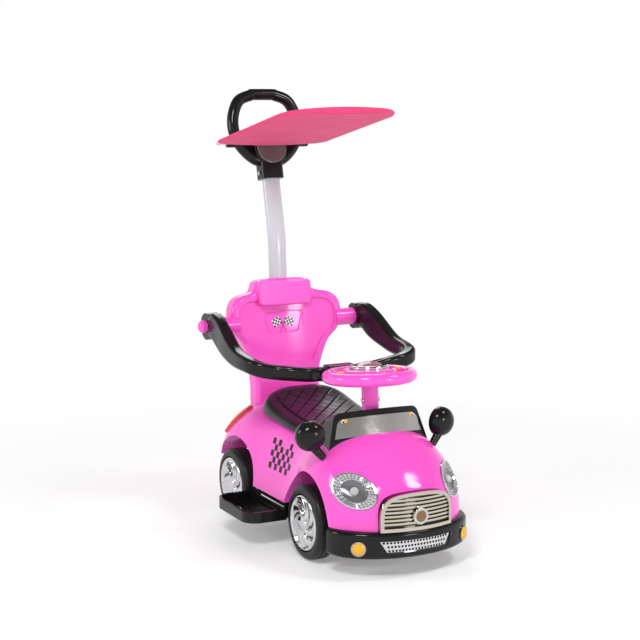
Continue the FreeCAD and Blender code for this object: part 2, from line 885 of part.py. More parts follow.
def kingpins():
    foot = V(kingpin_x, front_axle_y, beam_low_z)
    top = V(kingpin_x, front_axle_y, beam_high_z + beam_plate)
    head = V(0, 0, kingpin_head_height)
    ends = [rod(kingpin_head, foot - head, foot), rod(kingpin_head, top, top + head)]
    pin = rod(kingpin_radius, foot, top).fuse(ends)
    return both_sides(pin)


def knuckle():
    foot, head = V(kingpin_x, front_axle_y, knuckle_low_z), V(kingpin_x, front_axle_y, knuckle_high_z)
    body = rod(knuckle_radius, foot, head)
    centre = V(kingpin_x, front_axle_y, axle_z)
    shoulder = V(wheel_inner_x - fit_gap, front_axle_y, axle_z)
    tip = V(wheel_inner_x + hub_face + axle_tip, front_axle_y, axle_z)
    arm_low = V(kingpin_x - arm_width / 2, tie_y - arm_width / 2, arm_top_z - arm_thick)
    arm = box(arm_low, V(kingpin_x + arm_width / 2, front_axle_y, arm_top_z))
    pin = rod(link_pin_radius, V(kingpin_x, tie_y, arm_top_z), V(kingpin_x, tie_y, tie_top_z + link_gap))
    cap = at_wheel(axle_cap(), front_axle_y, False)
    stub = rod(stub_shoulder_radius, centre, shoulder).fuse(rod(axle_radius, centre, tip))
    body = body.fuse([stub, arm, pin, cap])
    return body.cut(rod(kingpin_radius + running_clearance, V(foot.x, foot.y, 0), V(foot.x, foot.y, big)))


def tie_rod():
    half = kingpin_x + tie_overhang
    bar = wide_box(half, tie_y - tie_half_width, tie_y + tie_half_width, tie_low_z, tie_top_z)
    wide, long = link_pin_radius + link_slack_x, link_pin_radius + link_slack_y
    slots = []
    for x in (-kingpin_x, 0, kingpin_x):
        slots.append(box(V(x - wide, tie_y - long, 0), V(x + wide, tie_y + long, big)))
    return bar.cut(slots)


def steering_column():
    low = along_column(rod_bottom_z)
    shaft = rod(axle_radius, V(0, 0, low), V(0, 0, hub_top - hub_wall))
    plate_low = along_column(crank_low_z)
    reach = crank_length / cos(radians(steer_tilt))
    half = crank_width / 2
    plate = wide_box(half, -reach - half, half, plate_low, plate_low + crank_thick)
    plate = rounded_along(plate, Z_AXIS, crank_width / 3)
    pin = rod(link_pin_radius, V(0, -reach, along_column(tie_low_z) - link_gap), V(0, -reach, plate_low))
    bolt_z = along_column(cross_bolt_z)
    bolt = rod(cross_bolt_radius, V(-big, 0, bolt_z), V(big, 0, bolt_z))
    return column_place(shaft.fuse([plate, pin]).cut(bolt))


def column_bolt():
    z = along_column(cross_bolt_z)
    reach = sleeve_radius + cross_bolt_radius
    bolt = rod(cross_bolt_radius, V(-reach, 0, z), V(reach, 0, z))
    for sign in (-1, 1):
        head = rod(cross_bolt_head, V(sign * sleeve_radius, 0, z), V(sign * reach, 0, z))
        bolt = bolt.fuse(head)
    return column_place(bolt)


# Steering wheel: drawn flat about its own centre, then set on the tilted column.
def steering_wheel():
    rim = Part.makeTorus(rim_major, rim_minor)
    dish = rod(rim_major, V(0, 0, -dish_low), V(0, 0, dish_thick - dish_low))
    hub = rod(hub_radius, V(0, 0, -dish_low), V(0, 0, hub_top))
    hub = hub.makeFillet(hub_round, rims_above(hub, 0))
    sleeve = rod(sleeve_radius, V(0, 0, along_column(sleeve_bottom_z)), V(0, 0, hub_top - hub_wall))
    pods = []
    for x in (-button_x, button_x):
        pods.append(rod(button_radius + pod_wall, V(x, 0, -dish_low), V(x, 0, pod_height)))
    wheel_body = rim.fuse([dish, hub] + pods)
    room = rod(hub_radius - hub_wall, V(0, 0, -dish_low), V(0, 0, hub_top - hub_wall))
    wheel_body = wheel_body.cut(room).fuse(sleeve)
    cuts = [rod(axle_radius, V(0, 0, -big), V(0, 0, hub_top - hub_wall))]
    z = along_column(cross_bolt_z)
    cuts.append(rod(cross_bolt_radius, V(-big, 0, z), V(big, 0, z)))
    well_z = pod_height - button_height + button_sink
    for x in (-button_x, button_x):
        cuts.append(rod(button_radius + fit_gap, V(x, 0, well_z), V(x, 0, big)))
    return column_place(wheel_body.cut(cuts))


def steering_cover():
    """The plate that closes the hub from below."""
    outer = rod(hub_radius - hub_wall - fit_gap, V(0, 0, -dish_low), V(0, 0, cover_thick - dish_low))
    return column_place(outer.cut(rod(sleeve_radius + fit_gap, V(0, 0, -big), V(0, 0, big))))


def hub_floor():
    return cover_thick - dish_low


def batteries():
    cells = []
    for x in (-cell_x, cell_x):
        z = hub_floor() + cell_radius
        cells.append(rod(cell_radius, V(x, -cell_length / 2, z), V(x, cell_length / 2, z)))
    return column_place(Part.makeCompound(cells))


def circuit_board():
    start = sleeve_radius + 2 * fit_gap
    low = V(-board_wide / 2, start, hub_floor())
    return column_place(box(low, low + V(board_wide, board_deep, board_thick)))


def speaker():
    start = V(0, -sleeve_radius - speaker_radius - 2 * fit_gap, hub_floor())
    return column_place(rod(speaker_radius, start, start + V(0, 0, speaker_height)))


def dash_bezel():
    ring = rod(bezel_outer, V(0, 0, hub_top), V(0, 0, hub_top + bezel_height))
    ring = ring.makeFillet(bezel_height / 2, rims_above(ring, hub_top))
    return column_place(ring.cut(rod(bezel_inner, V(0, 0, hub_top), V(0, 0, big))))


def horn_dome():
    radius = bezel_inner - fit_gap
    base = hub_top + dome_lift
    ball_radius = (radius**2 + dome_height**2) / (2 * dome_height)
    ball = Part.makeSphere(ball_radius, V(0, 0, base + bezel_height - dome_lift + dome_height - ball_radius))
    skirt = rod(radius, V(0, 0, base), V(0, 0, base + dome_height + bezel_height))
    return column_place(skirt.common(ball.fuse(rod(radius, V(0, 0, base), V(0, 0, hub_top + bezel_height)))))


def wheel_button():
    low = pod_height - 2 * fit_gap
    button = rod(button_radius, V(button_x, 0, low), V(button_x, 0, low + button_height - button_sink))
    button = button.makeFillet(button_round, rims_above(button, low))
    return column_place(button)


# Nose: bumper, mesh, fog lamps, grille and badge.
def bumper_curve(inset, z):
    front, end = nose_y - bumper_proud + inset, bumper_end_y
    half = body_half_width + fit_gap - inset
    run = end - front
    right = [V(x_share * half, front + y_share * run, z) for x_share, y_share in bumper_point_shares]
    left = [V(-p.x, p.y, p.z) for p in right[1:]]
    return spline(list(reversed(left)) + right)


def fog_place(shape):
    return aimed(shape, fog_turn, 0, 0, V(fog_x, fog_face_y(), fog_z))


def fog_face_y():
    """Where the bumper's outer curve passes the fog lamp."""
    curve = bumper_curve(0, fog_z)
    line = Part.makeLine(V(fog_x, nose_y - big, fog_z), V(fog_x, big, fog_z))
    return curve.distToShape(line)[1][0][0].y


def mesh_prism(growth):
    points = [
        (-mesh_bottom_half - growth, mesh_low_z - growth), (mesh_bottom_half + growth, mesh_low_z - growth),
        (mesh_top_half + growth, mesh_high_z + growth), (-mesh_top_half - growth, mesh_high_z + growth),
    ]
    return polygon_prism(points, nose_y - big, 0)


def bumper_block(inset):
    low = bumper_curve(inset, bumper_low_z)
    ends = [v.Point for v in low.Vertexes]
    face = Part.Face(Part.Wire([low, Part.makeLine(ends[1], ends[0])]))
    return face.extrude(V(0, 0, bumper_top_z - bumper_low_z))


def front_bumper():
    block = bumper_block(0)
    rounds = [e for e in block.Edges if e.Curve.TypeId == "Part::GeomBSplineCurve"]
    block = block.makeFillet(bumper_round, rounds)
    block = block.cut(bumper_block(bumper_depth))
    recess = mesh_prism(0).cut(bumper_block(mesh_recess))
    fog = fog_place(oval_prism(fog_radius, fog_radius, -fog_depth, fog_depth))
    return block.cut([recess, fog, mirrored(fog)])


def bumper_mesh():
    sheet = mesh_prism(-fit_gap).common(bumper_block(mesh_recess - mesh_thick)).cut(bumper_block(mesh_recess))
    holes = []
    rows = int((mesh_high_z - mesh_low_z) / mesh_pitch)
    for row in range(rows):
        z = mesh_low_z + (row + 0.5) * (mesh_high_z - mesh_low_z) / rows
        half = mesh_bottom_half + (mesh_top_half - mesh_bottom_half) * (row + 0.5) / rows
        reach = half - mesh_pitch
        count = int(2 * reach / mesh_pitch)
        for k in range(count):
            x = -reach + (k + 0.5 * (row % 2)) * mesh_pitch
            holes.append(rod(mesh_hole, V(x, nose_y - bumper_depth, z), V(x, 0, z)))
    return sheet.cut(Part.makeCompound(holes))


def fog_bezels():
    ring = oval_prism(fog_radius - running_clearance, fog_radius - running_clearance, -fog_bezel, fog_depth)
    hole = oval_prism(fog_radius - fog_bezel, fog_radius - fog_bezel, -fog_depth, fog_depth - fog_bezel)
    return both_sides(fog_place(ring.cut(hole)))


def fog_lenses():
    radius = fog_radius - fog_bezel - running_clearance
    ball_radius = (radius**2 + fog_dome**2) / (2 * fog_dome)
    ball = Part.makeSphere(ball_radius, V(0, ball_radius - fog_dome - fog_bezel, 0))
    lens = oval_prism(radius, radius, -big, fog_depth - fog_bezel - running_clearance).common(ball)
    return both_sides(fog_place(lens))


def grille_curve(depth):
    """A standing cylinder whose front passes the nose at the given depth behind the grille's face."""
    centre_y = nose_y - grille_thick + grille_bow
    return rod(grille_bow - depth, V(0, centre_y, 0), V(0, centre_y, big))


def grille_outline(inset):
    low, high = bumper_top_z + fit_gap + inset, grille_top_z - inset
    points = scaled(grille_outline_shares, grille_half_width - inset, low, high)
    return prism(points, nose_y - big, 0)


def grille_hole():
    """The hole in the nose that the grille's rim fills."""
    nose = wide_box(big, -big, nose_y + 2 * grille_depth, 0, big)
    return grille_outline(-running_clearance).common(nose)


def radiator_grille():
    rim = grille_outline(0).common(grille_curve(0)).cut(grille_curve(grille_depth))
    opening = grille_outline(grille_frame)
    frame = rim.cut(opening)
    low, high = bumper_top_z + fit_gap + grille_frame, grille_top_z - grille_frame
    pitch = (high - low) / (grille_slats + 1)
    slats = []
    for k in range(1, grille_slats + 1):
        z = low + k * pitch
        slats.append(wide_box(grille_half_width, nose_y - big, 0, z - slat_thick / 2, z + slat_thick / 2))
    behind = grille_curve(grille_thick)
    bars = opening.common(Part.makeCompound(slats)).common(grille_curve(slat_sink)).cut(behind)
    backing = opening.common(grille_curve(grille_thick - slat_sink)).cut(behind)
    seat_y = nose_y - grille_thick + slat_sink
    badge_seat = rod(badge_radius + fit_gap, V(0, nose_y - big, badge_z), V(0, seat_y, badge_z))
    lamps = [headlight_tool(-fit_gap), mirrored(headlight_tool(-fit_gap))]
    return frame.fuse([backing, bars]).cut([badge_seat] + lamps).removeSplitter()


def grille_badge():
    back = nose_y - grille_thick + slat_sink
    disc = rod(badge_radius, V(0, back, badge_z), V(0, back - badge_thick - slat_sink, badge_z))
    return disc.makeFillet(badge_thick / 3, [e for e in disc.Edges if e.Closed and e.BoundBox.YMax < back])


# Lamps that follow the skin.
def headlight_reflectors():
    outside = body_solid(lens_proud - lens_thick - fit_gap)
    bowl = headlight_tool(fit_gap).common(outside).cut(body_solid(-reflector_depth))
    hollow = headlight_tool(fit_gap + reflector_wall).cut(body_solid(reflector_wall - reflector_depth))
    return both_sides(bowl.cut(hollow))


def headlight_lenses():
    lens = headlight_tool(fit_gap).common(body_solid(lens_proud)).cut(body_solid(lens_proud - lens_thick))
    return both_sides(lens)


def tail_lights(clear_skin):
    lens = tail_light_tool(0).common(body_solid(tail_light_proud)).cut(clear_skin)
    return both_sides(lens)


# Windscreen: drawn upright with its face at y = 0, then leaned back.
def screen_place(shape):
    return pitched(shape, -screen_lean, V(0, screen_y, screen_z))


def screen_outline(side_inset, top_inset, low):
    slope = (screen_base_half - screen_top_half) / screen_height
    half_low = screen_base_half - slope * low - side_inset
    top = screen_height - top_inset
    half_top = screen_base_half - slope * top - side_inset
    points = [(-half_low, low), (half_low, low), (half_top, top), (-half_top, top)]
    block = polygon_prism(points, -big, big)
    upper = [e for e in edges_along(block, Y_AXIS) if e.BoundBox.ZMin > top - fit_gap]
    return block.makeFillet(screen_round, upper)


def screen_curve(depth):
    foot_z, top_z = -screen_sink - screen_height, 2 * screen_height
    return rod(screen_bow - depth, V(0, screen_bow, foot_z), V(0, screen_bow, top_z))


def windscreen_frame(clear_skin):
    front = wide_box(big, -big, screen_bow, -big, big)
    shell = screen_outline(0, 0, -screen_sink).common(screen_curve(0))
    shell = shell.cut(screen_curve(screen_depth)).common(front)
    hollow = screen_outline(screen_wall, screen_wall, -2 * screen_sink).common(screen_curve(screen_plate))
    seat = screen_outline(pane_side - fit_gap, pane_margin - fit_gap, pane_low - fit_gap)
    seat = seat.cut(screen_curve(pane_thick))
    column_room = column_place(rod(sleeve_radius + screen_column_gap, V(0, 0, -steer_z), ORIGIN))
    return screen_place(shell.cut([hollow, seat.common(front)])).cut([clear_skin, column_room])


def windscreen_pane(clear_skin):
    front = wide_box(big, -big, screen_bow, -big, big)
    pane = screen_outline(pane_side, pane_margin, pane_low)
    pane = pane.common(screen_curve(0)).cut(screen_curve(pane_thick))
    return screen_place(pane.common(front)).cut(clear_skin)


# Mirrors.
def mirror_place(shape):
    moved = shape.copy()
    moved.rotate(ORIGIN, Z_AXIS, mirror_turn)
    moved.translate(V(mirror_x, mirror_y, mirror_z))
    return moved


def mirror_housing(clear_skin):
    nose = spline([
        V(-mirror_nose, 0, 0), V(-mirror_nose * cos(pi / 6), 0, mirror_radius * sin(pi / 6)),
        V(-mirror_nose * cos(pi / 3), 0, mirror_radius * sin(pi / 3)), V(0, 0, mirror_radius),
    ])
    back = [(0, mirror_radius), (mirror_rim, mirror_radius), (mirror_rim, 0), (-mirror_nose, 0)]
    egg = turned([nose] + polyline(back))
    egg.rotate(ORIGIN, Z_AXIS, 90)
    sink = V(0, mirror_rim - mirror_glass_sink, 0)
    egg = egg.cut(rod(mirror_radius - mirror_glass_sink, sink, V(0, mirror_rim, 0)))
    egg = mirror_place(egg)
    foot = V(stalk_foot_x, stalk_foot_y, stalk_foot_z)
    neck = V(mirror_x, mirror_y, mirror_z) - V(0, 0, mirror_radius / 2)
    way = neck - foot
    stalk = Part.makeCone(stalk_radius, stalk_top_radius, way.Length, foot, way)
    stalk = stalk.cut(mirror_place(rod(mirror_radius, sink, V(0, big, 0))))
    return egg.fuse(stalk).cut(clear_skin)


def mirror_glasses():
    start = V(0, mirror_rim - mirror_glass_sink, 0)
    glass = rod(mirror_radius - mirror_glass_sink - fit_gap, start, start + V(0, mirror_glass_thick, 0))
    return both_sides(mirror_place(glass))


# Seat lid on its hinge.
def seat_lid():
    block = seat_block(0, 0)
    room = seat_block(-seat_wall, 0)
    room.translate(V(0, 0, -seat_wall))
    block = block.cut(room)
    foot_z = hinge_z - hinge_radius
    lugs = seat_hinge_boxes(hinge_half, hinge_y - hinge_radius, hinge_lug_rear, foot_z, -fit_gap - body_wall)
    lugs += seat_hinge_boxes(hinge_half, fit_gap, hinge_lug_rear, foot_z, seat_wall)
    pin = rod(hinge_pin_radius + running_clearance, V(-big, hinge_y, hinge_z), V(big, hinge_y, hinge_z))
    return seat_place(block.fuse(lugs).cut(pin))


def seat_hinge_pins():
    half = hinge_half + hinge_side + fit_gap
    pin = rod(hinge_pin_radius, V(hinge_x - half, hinge_y, hinge_z), V(hinge_x + half, hinge_y, hinge_z))
    return seat_place(both_sides(pin))


# Backrest: drawn upright with its front face at y = 0, then leaned back.
def back_place(shape):
    return pitched(shape, -back_lean, V(0, back_y, back_z))


def back_outline(inset, low_y, high_y):
    points = scaled(back_outline_shares, back_half_width - inset, 0, back_height - inset)
    return prism(points, low_y, high_y)


def back_curve(depth):
    """An upright cylinder whose rear side is the dished face, moved back by the given depth."""
    return rod(back_bow + depth, V(0, -back_bow, -back_height), V(0, -back_bow, 2 * back_height))


def back_slab(inset, front, rear):
    """The outline between two depths behind the dished face."""
    outline = back_outline(inset, -back_bow, back_depth + slide_gap)
    return outline.common(back_curve(rear)).cut(back_curve(front))


def back_block():
    slab = back_slab(0, 0, back_depth)
    bowed = [f for f in slab.Faces if hasattr(f.Surface, "Radius")]
    face = min(bowed, key=lambda f: abs(f.Surface.Radius - back_bow))
    slab = slab.makeFillet(back_round, [e for e in face.Edges if e.BoundBox.ZMax > back_round])
    spine = wide_box(spine_half, back_depth / 2, back_depth + spine_depth, 0, back_height - spine_round)
    rear = [e for e in edges_along(spine, Z_AXIS) if e.BoundBox.YMin > back_depth]
    rear += [e for e in edges_along(spine, X_AXIS) if e.BoundBox.YMin > back_depth and e.BoundBox.ZMin > 0]
    spine = spine.makeFillet(spine_round, rear)
    pillow = wide_box(headrest_half, -headrest_proud, back_depth / 2, headrest_low, headrest_high)
    pillow = rounded_along(pillow, Y_AXIS, headrest_round)
    face = [e for e in pillow.Edges if e.BoundBox.YMax < fit_gap - headrest_proud]
    pillow = pillow.makeFillet(headrest_round / 2, face)
    dish = prism(scaled(recess_outline_shares, back_half_width, 0, back_height), -back_bow, back_depth)
    dish = dish.common(back_curve(back_recess))
    plaque = [
        (-plaque_low_half, plaque_low), (plaque_low_half, plaque_low), (plaque_top_half, plaque_high),
        (-plaque_top_half, plaque_high),
    ]
    shield = rounded_along(polygon_prism(plaque, -back_bow, back_depth), Y_AXIS, plaque_corner)
    shield = shield.common(back_curve(back_recess + plaque_sink))
    return slab.cut([dish, shield]).fuse([spine, pillow])


def back_socket():
    """The hole in the body that the foot of the backrest plugs into."""
    foot = back_slab(-running_clearance, -running_clearance, back_depth + running_clearance)
    spine_rear = back_depth + spine_depth + running_clearance
    foot = foot.fuse(wide_box(spine_half + running_clearance, back_depth / 2, spine_rear, 0, back_height))
    return back_place(foot)


def backrest(pole_hole):
    """Front and rear shells, parted midway through the slab."""
    block = back_place(back_block())
    ear = rod(pivot_radius, V(ear_inner_x, pivot_y, pivot_z), V(ear_outer_x, pivot_y, pivot_z))
    block = block.fuse([ear, mirrored(ear)])
    room_front, room_rear = back_recess + plaque_sink + back_wall, back_depth - back_wall
    room = back_slab(back_wall + back_round / 2, room_front, room_rear)
    room = room.common(wide_box(big, -big, big, back_foot, big))
    spine_rear = back_depth + spine_depth - back_wall
    spine_room = wide_box(spine_half - back_wall, back_depth / 2, spine_rear, back_foot, headrest_low)
    room = back_place(room.fuse(spine_room))
    bore = rod(pivot_bolt_radius, V(bolt_inner_x, pivot_y, pivot_z), V(big, pivot_y, pivot_z))
    block = block.cut([room, pole_hole, bore, mirrored(bore)])
    ahead = back_place(back_curve(back_depth / 2))
    front = block.common(ahead)
    rear = block.cut(ahead)
    return front, rear


def pivot_bolts():
    start = V(bolt_inner_x, pivot_y, pivot_z)
    end = V(rail_x + rail_thick / 2 + knob_length / 2, pivot_y, pivot_z)
    return both_sides(rod(pivot_bolt_radius, start, end))


def pivot_knobs():
    start = V(rail_x + rail_thick / 2 + slide_gap, pivot_y, pivot_z)
    knob = rod(knob_radius, start, start + V(knob_length, 0, 0))
    knob = knob.makeFillet(knob_round, rims_beyond(knob, start.x))
    bore_end = start + V(knob_length / 2 - slide_gap, 0, 0)
    return both_sides(knob.cut(rod(pivot_bolt_radius, V(0, pivot_y, pivot_z), bore_end)))


# Guard rail: upright rounded sections along the arm.
def rounded_section(centre, along, half_wide, half_high):
    side = along.cross(Z_AXIS).normalize()
    radius = min(rail_corner, corner_limit_share * half_wide, corner_limit_share * half_high)
    places = []
    for side_sign, up_sign in ((1, 1), (-1, 1), (-1, -1), (1, -1)):
        hub = centre + side * (side_sign * (half_wide - radius)) + Z_AXIS * (up_sign * (half_high - radius))
        first, second = side * (side_sign * radius), Z_AXIS * (up_sign * radius)
        if side_sign * up_sign < 0:
            first, second = second, first
        places.append((hub + first, hub + (first + second) * sqrt(0.5), hub + second))
    edges = []
    for k, (start, middle, end) in enumerate(places):
        edges.append(Part.Arc(start, middle, end).toShape())
        edges.append(Part.makeLine(end, places[(k + 1) % len(places)][0]))
    return Part.Wire(edges)


def rail_points():
    points = []
    for x_share, reach_share, drop_share, half_share in rail_station_shares:
        y = pivot_y + reach_share * (rail_front_y - pivot_y)
        centre = V(x_share * rail_x, y, pivot_z - drop_share * rail_low_drop)
        points.append((centre, half_share * rail_pivot_half))
    return points


def guard_arm():
    points = rail_points()
    wires = []
    for k, (centre, half_high) in enumerate(points):
        before, after = points[max(k - 1, 0)][0], points[min(k + 1, len(points) - 1)][0]
        along = V(after.x - before.x, after.y - before.y, 0)
        if k == 0:
            along = V(0, -1, 0)
        if k == len(points) - 1:
            along = V(-1, 0, 0)
        wires.append(rounded_section(centre, along, rail_thick / 2, half_high))
    arm = loft(wires)
    pivot, half = V(rail_x, pivot_y, pivot_z), V(rail_thick / 2, 0, 0)
    head = rod(rail_pivot_half, pivot - half, pivot + half)
    arm = arm.fuse(head)
    hole = rod(pivot_bolt_radius + running_clearance, V(0, pivot_y, pivot_z), V(big, pivot_y, pivot_z))
    return arm.cut(hole)


def guard_clasp():
    """A thicker block between the ends of the two arms."""
    end, half_high = rail_points()[-1]
    places = (end, V(-end.x, end.y, end.z))
    half_wide, half_high = rail_thick / 2 + clasp_proud, half_high + clasp_proud
    return loft([rounded_section(place, -X_AXIS, half_wide, half_high) for place in places])


# Push pole, band, handle, disc and clips.
def push_pole():
    return pole_solid(0).cut([pole_solid(-pole_wall), socket_bolt_rod(socket_bolt_radius)])


def handle_place(shape):
    return pitched(shape, -handle_tilt, V(0, handle_y, handle_z))


def handle_block(pole_hole):
    half = [V(x, 0, z) for x, z in scaled(ring_path_shares, handle_half_width, 0, handle_length)]
    curve = Part.BSplineCurve()
    curve.interpolate(Points=half, InitialTangent=X_AXIS, FinalTangent=-X_AXIS)
    ring = Part.Wire(Part.Circle(half[0], X_AXIS, handle_tube).toShape())
    ring.rotate(half[0], X_AXIS, seam_turn)
    grip = Part.Wire(curve.toShape()).makePipeShell([ring], True, False)
    grip = grip.fuse(mirrored(grip))
    outline = scaled(bowl_outline_shares, handle_half_width, 0, handle_length)
    bowl = prism(outline, -bowl_half_depth, bowl_half_depth)
    socket = wide_box(socket_half_wide, -socket_half_deep, socket_half_deep, 0, disc_height)
    socket = rounded_along(socket, Z_AXIS, socket_round)
    boss = rod(boss_radius, V(0, -socket_half_deep, disc_height), V(0, socket_half_deep, disc_height))
    boss = boss.makeFillet(boss_round, [e for e in boss.Edges if e.Closed])
    block = handle_place(grip.fuse([bowl, socket, boss]))
    clips = rod(clip_radius, V(-clip_outer_x, clip_y, clip_z), V(clip_outer_x, clip_y, clip_z))
    hollow = rod(clip_radius, V(-clip_inner_x, clip_y, clip_z), V(clip_inner_x, clip_y, clip_z))
    return block.cut([clips.cut(hollow), pole_hole, socket_bolt_rod(socket_bolt_radius)])


def socket_bolt_rod(radius):
    reach = socket_half_wide + socket_bolt_radius
    return handle_place(rod(radius, V(-reach, 0, socket_bolt_height), V(reach, 0, socket_bolt_height)))


def pole_bolt():
    reach = socket_half_wide + socket_bolt_radius
    heads = []
    for sign in (-1, 1):
        start = V(sign * socket_half_wide, 0, socket_bolt_height)
        heads.append(rod(2 * socket_bolt_radius, start, start + V(sign * socket_bolt_radius, 0, 0)))
    return socket_bolt_rod(socket_bolt_radius).fuse([handle_place(head) for head in heads])


def handle_disc():
    start = V(0, -socket_half_deep, disc_height)
    disc = rod(disc_radius, start, start - V(0, disc_thick, 0))
    disc = disc.makeFillet(disc_thick / 2, [e for e in disc.Edges if e.Closed and e.BoundBox.YMax < start.y])
    return handle_place(disc)


def canopy_clips():
    clip = rod(clip_radius, V(clip_inner_x, clip_y, clip_z), V(clip_outer_x, clip_y, clip_z))
    clip = clip.makeFillet(clip_round, rims_beyond(clip, clip_inner_x))
    start, end = V(clip_inner_x + clip_radius / 2, clip_y, clip_z), V(clip_outer_x, clip_y, clip_z)
    bore = rod(wire_radius + running_clearance, start, end)
    return both_sides(clip.cut(bore))


# Canopy: drawn level from the clips toward -y, then raised to the front.
def canopy_place(shape):
    return pitched(shape, -canopy_rise, V(0, clip_y, clip_z))


def corner_arc(before, corner, after, radius):
    """Start, middle and end of the arc that rounds a corner."""
    to_before, to_after = (before - corner).normalize(), (after - corner).normalize()
    half = to_before.getAngle(to_after) / 2
    reach = radius / tan(half)
    inward = (to_before + to_after).normalize()
    middle = corner + inward * (radius / sin(half) - radius)
    return corner + to_before * reach, middle, corner + to_after * reach


def canopy_wire_solid(radius):
    tip = V(clip_inner_x + clip_radius / 2 + fit_gap, 0, 0)
    rear, front, middle = V(wire_corner_x, 0, 0), V(wire_front_x, -wire_length, 0), V(0, -wire_length, 0)
    first = corner_arc(tip, rear, front, wire_rear_corner)
    second = corner_arc(rear, front, middle, wire_front_corner)
    half = [
        Part.makeLine(tip, first[0]), Part.Arc(*first).toShape(), Part.makeLine(first[2], second[0]),
        Part.Arc(*second).toShape(), Part.makeLine(second[2], middle),
    ]
    ring = Part.Wire(Part.Circle(tip, X_AXIS, radius).toShape())
    arm = Part.Wire(half).makePipeShell([ring], True, False)
    return arm.fuse(mirrored(arm)).removeSplitter()


def canopy_wire():
    return canopy_place(canopy_wire_solid(wire_radius))


def cover_block(inset):
    """The cover's outer form, or its hollow, which is open at the rear."""
    wires = []
    rear = cover_rear - (slide_gap if inset else 0)
    length = wire_length + cover_edge - inset - rear
    for along_share, width_share, crown_share in cover_station_shares:
        y = -rear - along_share * length
        half = width_share * wire_front_x
        edge = cover_edge * (1 if along_share < 1 else cover_nose_share) - inset
        crown, sag = edge + crown_share * cover_crown, edge + crown_share * cover_sag
        low_left, low_right = V(-half, y, -edge), V(half, y, -edge)
        high_left, high_right = V(-half, y, edge), V(half, y, edge)
        wires.append(Part.Wire([
            Part.Arc(low_left, V(0, y, -sag), low_right).toShape(),
            Part.Arc(low_right, V(half + edge, y, 0), high_right).toShape(),
            Part.Arc(high_right, V(0, y, crown), high_left).toShape(),
            Part.Arc(high_left, V(-half - edge, y, 0), low_left).toShape(),
        ]))
    return loft(wires)


def canopy_cover():
    hollow = cover_block(cover_thick_wall).fuse(canopy_wire_solid(wire_radius + running_clearance))
    return canopy_place(cover_block(0).cut(hollow))


# Footboards.
def footboard(tongue_low_y, tongue_high_y):
    tray = box(V(board_root_x, board_front_y, board_low_z), V(board_outer_x, board_rear_y, board_top_z))
    outer = [e for e in edges_along(tray, Z_AXIS) if e.BoundBox.XMin > board_root_x]
    tray = tray.makeFillet(board_corner, outer)
    well_low = V(board_root_x + board_rim, board_front_y + board_rim, board_low_z + board_skin)
    well = box(well_low, V(board_outer_x - board_rim, board_rear_y - board_rim, board_top_z))
    inner = [e for e in edges_along(well, Z_AXIS) if e.BoundBox.XMin > well_low.x]
    well = well.makeFillet(board_corner - board_rim, inner)
    ribs = []
    pitch = (board_outer_x - board_root_x) / (board_ribs + 1)
    for k in range(1, board_ribs + 1):
        x = board_root_x + k * pitch
        low = V(x - rib_width / 2, board_front_y + board_corner, well_low.z)
        ribs.append(box(low, V(x + rib_width / 2, board_rear_y - board_corner, well_low.z + rib_height)))
    tongue_end = V(board_root_x + board_rim, tongue_high_y, well_low.z)
    tongue = box(V(tongue_inner_x, tongue_low_y, board_low_z), tongue_end)
    return tray.cut(well).fuse(ribs + [tongue]).removeSplitter()


def footboards():
    front, rear = tub_front_y + keel_wall + slide_gap, tub_rear_y - keel_wall - slide_gap
    middle = (front + rear) / 2
    return mirrored(footboard(front, middle - slide_gap)), footboard(middle + slide_gap, rear)


